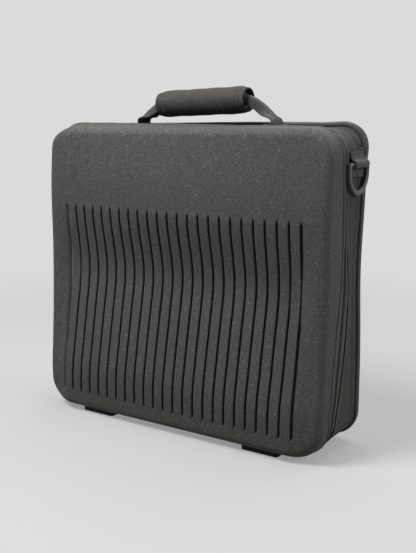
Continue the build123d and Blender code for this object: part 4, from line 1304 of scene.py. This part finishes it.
def side_ring(name, side):
    """The D-shaped ring: a round bar that passes into a wider, flatter bow.

    The middle line is the bar, two small corners, straight arms and half a circle. The
    section is an ellipse whose width in the ring's plane grows away from the bar.
    """
    corner = RING_HALF - RING_CORNER
    points = [[0.0, 0.0], [corner, 0.0]]
    points += [
        [corner + RING_CORNER * math.sin(t), RING_CORNER * (math.cos(t) - 1)]
        for t in np.linspace(0, QUARTER, 9)
    ]
    points += [
        [RING_HALF * math.cos(t), -RING_ARM - RING_HALF * math.sin(t)]
        for t in np.linspace(0, QUARTER, 20)
    ]
    points = np.array(points)
    path = np.concatenate([points, points[-2::-1] * [-1, 1]])
    run = run_lengths(path)
    line = resampled(np.linspace(0, run[-1], 129)[:-1], run, path)
    normal = left_of(unit(np.roll(line, -1, 0) - np.roll(line, 1, 0)))
    turn = whole_turn(16)
    away = smooth(-line[:, 1], 2.0, 9.0)[:, None]
    rounded = np.abs(np.cos(turn)) ** 0.8 * np.sign(np.cos(turn))
    off = (2.5 + 0.6 * away) * rounded
    out = (2.5 - 0.3 * away) * np.sin(turn)
    grid = np.stack([
        side * (RING_X + out),
        RING_Y + line[:, 0:1] + off * normal[:, 0:1],
        RING_Z + line[:, 1:2] + off * normal[:, 1:2],
    ], -1)
    return tube(name, grid, wrap_rows=True)


class CASE_OT_tabs(bpy.types.Operator):
    """Builds the side rings and the webbing tabs that hold them"""

    bl_idname = "case.tabs"
    bl_label = "Side tabs and rings"

    def execute(self, context):
        for side, name in SIDES:
            tab = ribbon(f"ring_tab_{name}", tab_path() * [side, 1], TAB_Y, TAB_WIDTH, 1.9)
            finish(tab, "case", "webbing", "webbing", f"side_tab_{name}")
            finish(side_ring(f"dee_{name}", side), f"ring_{name}", "ring", "ring", f"d_ring_{name}")
        return {"FINISHED"}


# ---------------------------------------------------------------- stitching
TAB_SEAMS = ((212.8, 363.6), (213.3, 361.0), (212.75, 341.5), (212.75, 338.0))
TAB_SEAM_HALF = 16.5
ANCHOR_SEAM_HALF = 9.0
ANCHOR_SEAM_Z = 393.9


def seam_lines(points, outward, pairs):
    """Rows of stitches along straight lines between numbered points."""
    points = np.asarray(points, float)
    return [stitch_row(points[list(pair)], outward) for pair in pairs]


class CASE_OT_stitching(bpy.types.Operator):
    """Sews the seams: stitches along welts and bindings and boxes on tabs and anchors"""

    bl_idname = "case.stitching"
    bl_label = "Stitching"

    def execute(self, context):
        line = outline_line(-0.02, shifted(cover_seam, -2.2))
        stitches("shell_seam_stitches", [stitch_row(*line, length=3.0, gap=1.3)], "cover")
        for name, inset, curve in (
            ("gusset_seam_stitches", GUSSET_INSET - 1.0, shifted(gusset_seam, 2.4)),
            ("back_seam_stitches", -0.4, at_depth(52.4)),
        ):
            points, up = outline_line(inset, curve)
            stitches(name, [stitch_row(waist(points), up)], "case")
        points, _ = outline_line(9.0, at_depth(BACK_Y - 1.0))
        stitches("back_panel_stitches", [stitch_row(points, [0, 1, 0])], "case")

        for side, name in SIDES:
            ends = [[side * x, TAB_Y + y, z] for x, z in TAB_SEAMS for y in (-TAB_SEAM_HALF, TAB_SEAM_HALF)]
            rows = seam_lines(ends, [side, 0, 0.1], ((0, 1), (2, 3), (4, 5), (6, 7), (0, 2), (1, 3)))
            stitches(f"tab_stitches_{name}", rows, "case")
            rows = []
            for near, far in ((6.5, 17.5), (-6.5, -17.0)):
                corners = [
                    [side * (BASE_X + x), HANDLE_Y + y * ANCHOR_SEAM_HALF, ANCHOR_SEAM_Z]
                    for x, y in ((near, -1), (far, -1), (far, 1), (near, 1))
                ]
                rows += seam_lines(corners, [0, 0, 1], ((0, 1), (1, 2), (2, 3), (3, 0)))
            stitches(f"anchor_stitches_{name}", rows, "case")

        turn = np.linspace(0, 2 * math.pi, 60)
        up = np.stack([np.zeros(60), np.cos(turn), np.sin(turn)], -1)
        rows = []
        for side, _ in SIDES:
            for off in (-2.3, 2.3):
                along = side * (grip_seam(turn) + off)
                points = round_grip(along, grip_shape(along, turn) + 0.05, turn)
                rows.append(stitch_row(points, up, length=2.4, radius=0.3))
        stitches("grip_stitches", rows, "handle")
        return {"FINISHED"}


# ---------------------------------------------------------------- hard parts that stay
KEPT_NODES = {
    "slider": ("main_slider", "main_pull", "back_slider", "back_pull"),
    "rivet": ("handle_rivets", "front_foot_rivets", "back_foot_rivets"),
    "rubber": ("front_foot_left", "front_foot_right", "back_foot_left", "back_foot_right"),
    "board": ("handle_backing", "back_board"),
}


class CASE_OT_hardware(bpy.types.Operator):
    """Gives the sliders, pulls, rivets, feet and boards their finishes"""

    bl_idname = "case.hardware"
    bl_label = "Hard parts"

    def execute(self, context):
        for material, nodes in KEPT_NODES.items():
            for node in nodes:
                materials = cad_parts[node].data.materials
                materials.clear()
                materials.append(make_materials()[material])
        return {"FINISHED"}


# ---------------------------------------------------------------- stage
FLOOR_RADIUS = 3.2
COVE_RADIUS = 1.6
WALL_TOP = 6.0
GLOW_NEAR, GLOW_FAR = 0.35, 1.25
SKY_STRENGTH = 0.12
LIGHTS = (
    ("key_light", (-0.5, -0.85, 1.6), (0, 0, 0.3), 0.8, 39),
    ("top_light", (0.1, 0.7, 1.7), (0, 0, 0.2), 1.8, 22),
    ("side_light", (1.5, 0.0, 1.0), (0, 0, 0.25), 0.7, 11),
)
CAMERA_PLACE = (0.6412, -0.9237, 0.4197)
CAMERA_TURN = (78.88, 0, 33.79)
CAMERA_LENS = 57.17


def backdrop_material(colour):
    """A pale ground that keeps the shadow.

    Light that bounces on to the object meets a dark grey surface. The camera, mirrors and glass
    see a pale one with an even glow mixed in: less of it near the object, where the shadow
    falls, and only it far away.
    """
    dark, pale = (tuple(c * share for c in colour) for share in (0.2, 0.68))
    material, tree, shader, place = surface("pale_ground", dark, 0.9, specular=0.0)
    path = add_node(tree, "ShaderNodeLightPath").outputs
    seen = math_node(tree, "MAXIMUM", path["Is Camera Ray"], path["Is Glossy Ray"])
    seen = math_node(tree, "MAXIMUM", seen, path["Is Transmission Ray"])
    tree.links.new(over(tree, (*dark, 1), pale, seen), shader.inputs["Base Color"])
    distance = add_node(tree, "ShaderNodeVectorMath", {0: place}, operation="LENGTH").outputs["Value"]
    share, strength = (
        map_range(tree, distance, GLOW_NEAR, GLOW_FAR, near, 1.0, interpolation_type="SMOOTHSTEP")
        for near in (0.42, 0.95)
    )
    glow = add_node(tree, "ShaderNodeEmission", {"Color": (*colour, 1), "Strength": strength})
    mixed = add_node(
        tree, "ShaderNodeMixShader",
        {0: multiply(tree, seen, share), 1: shader.outputs[0], 2: glow.outputs[0]},
    )
    tree.links.new(mixed.outputs[0], tree.nodes["Material Output"].inputs["Surface"])
    return material


def ground_grid():
    """A round floor that curves up into a wall: radius and height turned round the middle."""
    bend = np.linspace(0.15, QUARTER, 10)
    cove = FLOOR_RADIUS + COVE_RADIUS * np.sin(bend), COVE_RADIUS * (1 - np.cos(bend))
    radius = np.array([0.0001, 0.4, 0.8, 1.6, 2.4, FLOOR_RADIUS, *cove[0], FLOOR_RADIUS + COVE_RADIUS])
    height = np.array([0, 0, 0, 0, 0, 0, *cove[1], WALL_TOP])
    turn = whole_turn(96)
    rounds = radius[:, None, None] * np.stack([np.cos(turn), np.sin(turn)], -1)
    return np.append(rounds, np.repeat(height[:, None, None], len(turn), 1), -1)


def add_object(name, data):
    made = bpy.data.objects.new(name, data)
    bpy.context.scene.collection.objects.link(made)
    return made


class CASE_OT_stage(bpy.types.Operator):
    """Sets the pale ground, the soft lights and the camera of the photograph"""

    bl_idname = "case.stage"
    bl_label = "Stage"

    def execute(self, context):
        scene = context.scene
        colour = tuple(scene.case_colours.ground)
        grid = ground_grid() / MM
        faces = [grid_faces(*grid.shape[:2], wrap_columns=True)[0]]
        ground = mesh_object("pale_ground", grid.reshape(-1, 3), faces)
        ground.data.materials.append(backdrop_material(colour))

        scene.world = scene.world or bpy.data.worlds.new("soft_sky")
        scene.world.use_nodes = True
        sky = scene.world.node_tree.nodes["Background"]
        sky.inputs["Color"].default_value = (*colour, 1)
        sky.inputs["Strength"].default_value = SKY_STRENGTH
        for name, place, target, size, power in LIGHTS:
            light = bpy.data.lights.new(name, "AREA")
            light.shape, light.size, light.energy = "DISK", size, power
            lamp = add_object(name, light)
            lamp.location = place
            lamp.rotation_mode = "QUATERNION"
            lamp.rotation_quaternion = (Vector(target) - Vector(place)).to_track_quat("-Z", "Y")

        camera = bpy.data.cameras.new("photo_camera")
        camera.lens, camera.sensor_width, camera.clip_end = CAMERA_LENS, 36.0, 50
        scene.camera = add_object("photo_camera", camera)
        scene.camera.location = CAMERA_PLACE
        scene.camera.rotation_euler = [math.radians(turn) for turn in CAMERA_TURN]
        scene.view_settings.view_transform = "Standard"
        return {"FINISHED"}


# ---------------------------------------------------------------- panel and properties
def length(name, description, default):
    return FloatProperty(name=name, description=description, default=default, unit="LENGTH")


def colour(name, description, default):
    return FloatVectorProperty(
        name=name, description=description, default=default, subtype="COLOR", size=3
    )


class CaseSizes(bpy.types.PropertyGroup):
    """Sizes that the case's surface is worked out from"""

    groove_depth: length("Groove depth", "Depth of the moulded grooves", 0.0036)
    groove_width: length("Groove width", "Width of a groove at the face", 0.0034)
    rib_crown: length("Rib crown", "How far a rib's middle stands proud", 0.0005)


class CaseColours(bpy.types.PropertyGroup):
    """Colours of the case's finishes"""

    shell: colour("Shell", "Vinyl of the front and back", (0.059, 0.0583, 0.0557))
    welt: colour("Welt", "Vinyl of the welts", (0.055, 0.055, 0.054))
    nylon: colour("Nylon", "Woven cloth of the gusset", (0.062, 0.056, 0.047))
    webbing: colour("Webbing", "Straps and tapes", (0.058, 0.057, 0.054))
    grip: colour("Grip", "Cover of the grip", (0.036, 0.0345, 0.0315))
    lining: colour("Lining", "Cloth of the inside", (0.060, 0.060, 0.064))
    thread: colour("Thread", "Sewing thread", (0.050, 0.050, 0.048))
    metal: colour("Metal", "Sliders and pulls", (0.30, 0.30, 0.295))
    dust: colour("Dust", "Dust on the vinyl", (0.34, 0.33, 0.30))
    ground: colour("Ground", "Floor and backdrop", (0.71, 0.71, 0.71))


STEPS = (
    "shell", "welts", "gusset", "zips", "back", "linings", "handle", "tabs", "stitching",
    "hardware", "stage",
)


class CASE_PT_panel(bpy.types.Panel):
    """Lists the case's sizes, colours and building steps"""

    bl_idname = "CASE_PT_panel"
    bl_label = "Carrying case"
    bl_space_type = "VIEW_3D"
    bl_region_type = "UI"
    bl_category = "Case"

    def draw(self, context):
        for group in (context.scene.case_sizes, context.scene.case_colours):
            for key in group.__annotations__:
                self.layout.prop(group, key)
        for step in STEPS:
            self.layout.operator(f"case.{step}")


CLASSES = (
    CaseSizes, CaseColours, CASE_OT_shell, CASE_OT_welts, CASE_OT_gusset, CASE_OT_zips,
    CASE_OT_back, CASE_OT_linings, CASE_OT_handle, CASE_OT_tabs, CASE_OT_stitching,
    CASE_OT_hardware, CASE_OT_stage, CASE_PT_panel,
)


def register():
    for cls in CLASSES:
        bpy.utils.register_class(cls)
    bpy.types.Scene.case_sizes = PointerProperty(type=CaseSizes)
    bpy.types.Scene.case_colours = PointerProperty(type=CaseColours)


def unregister():
    del bpy.types.Scene.case_colours
    del bpy.types.Scene.case_sizes
    for cls in reversed(CLASSES):
        bpy.utils.unregister_class(cls)


def main():
    """Builds every piece in turn."""
    register()
    for step in STEPS:
        getattr(bpy.ops.case, step)()
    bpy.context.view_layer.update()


if __name__ == "__main__":
    main()
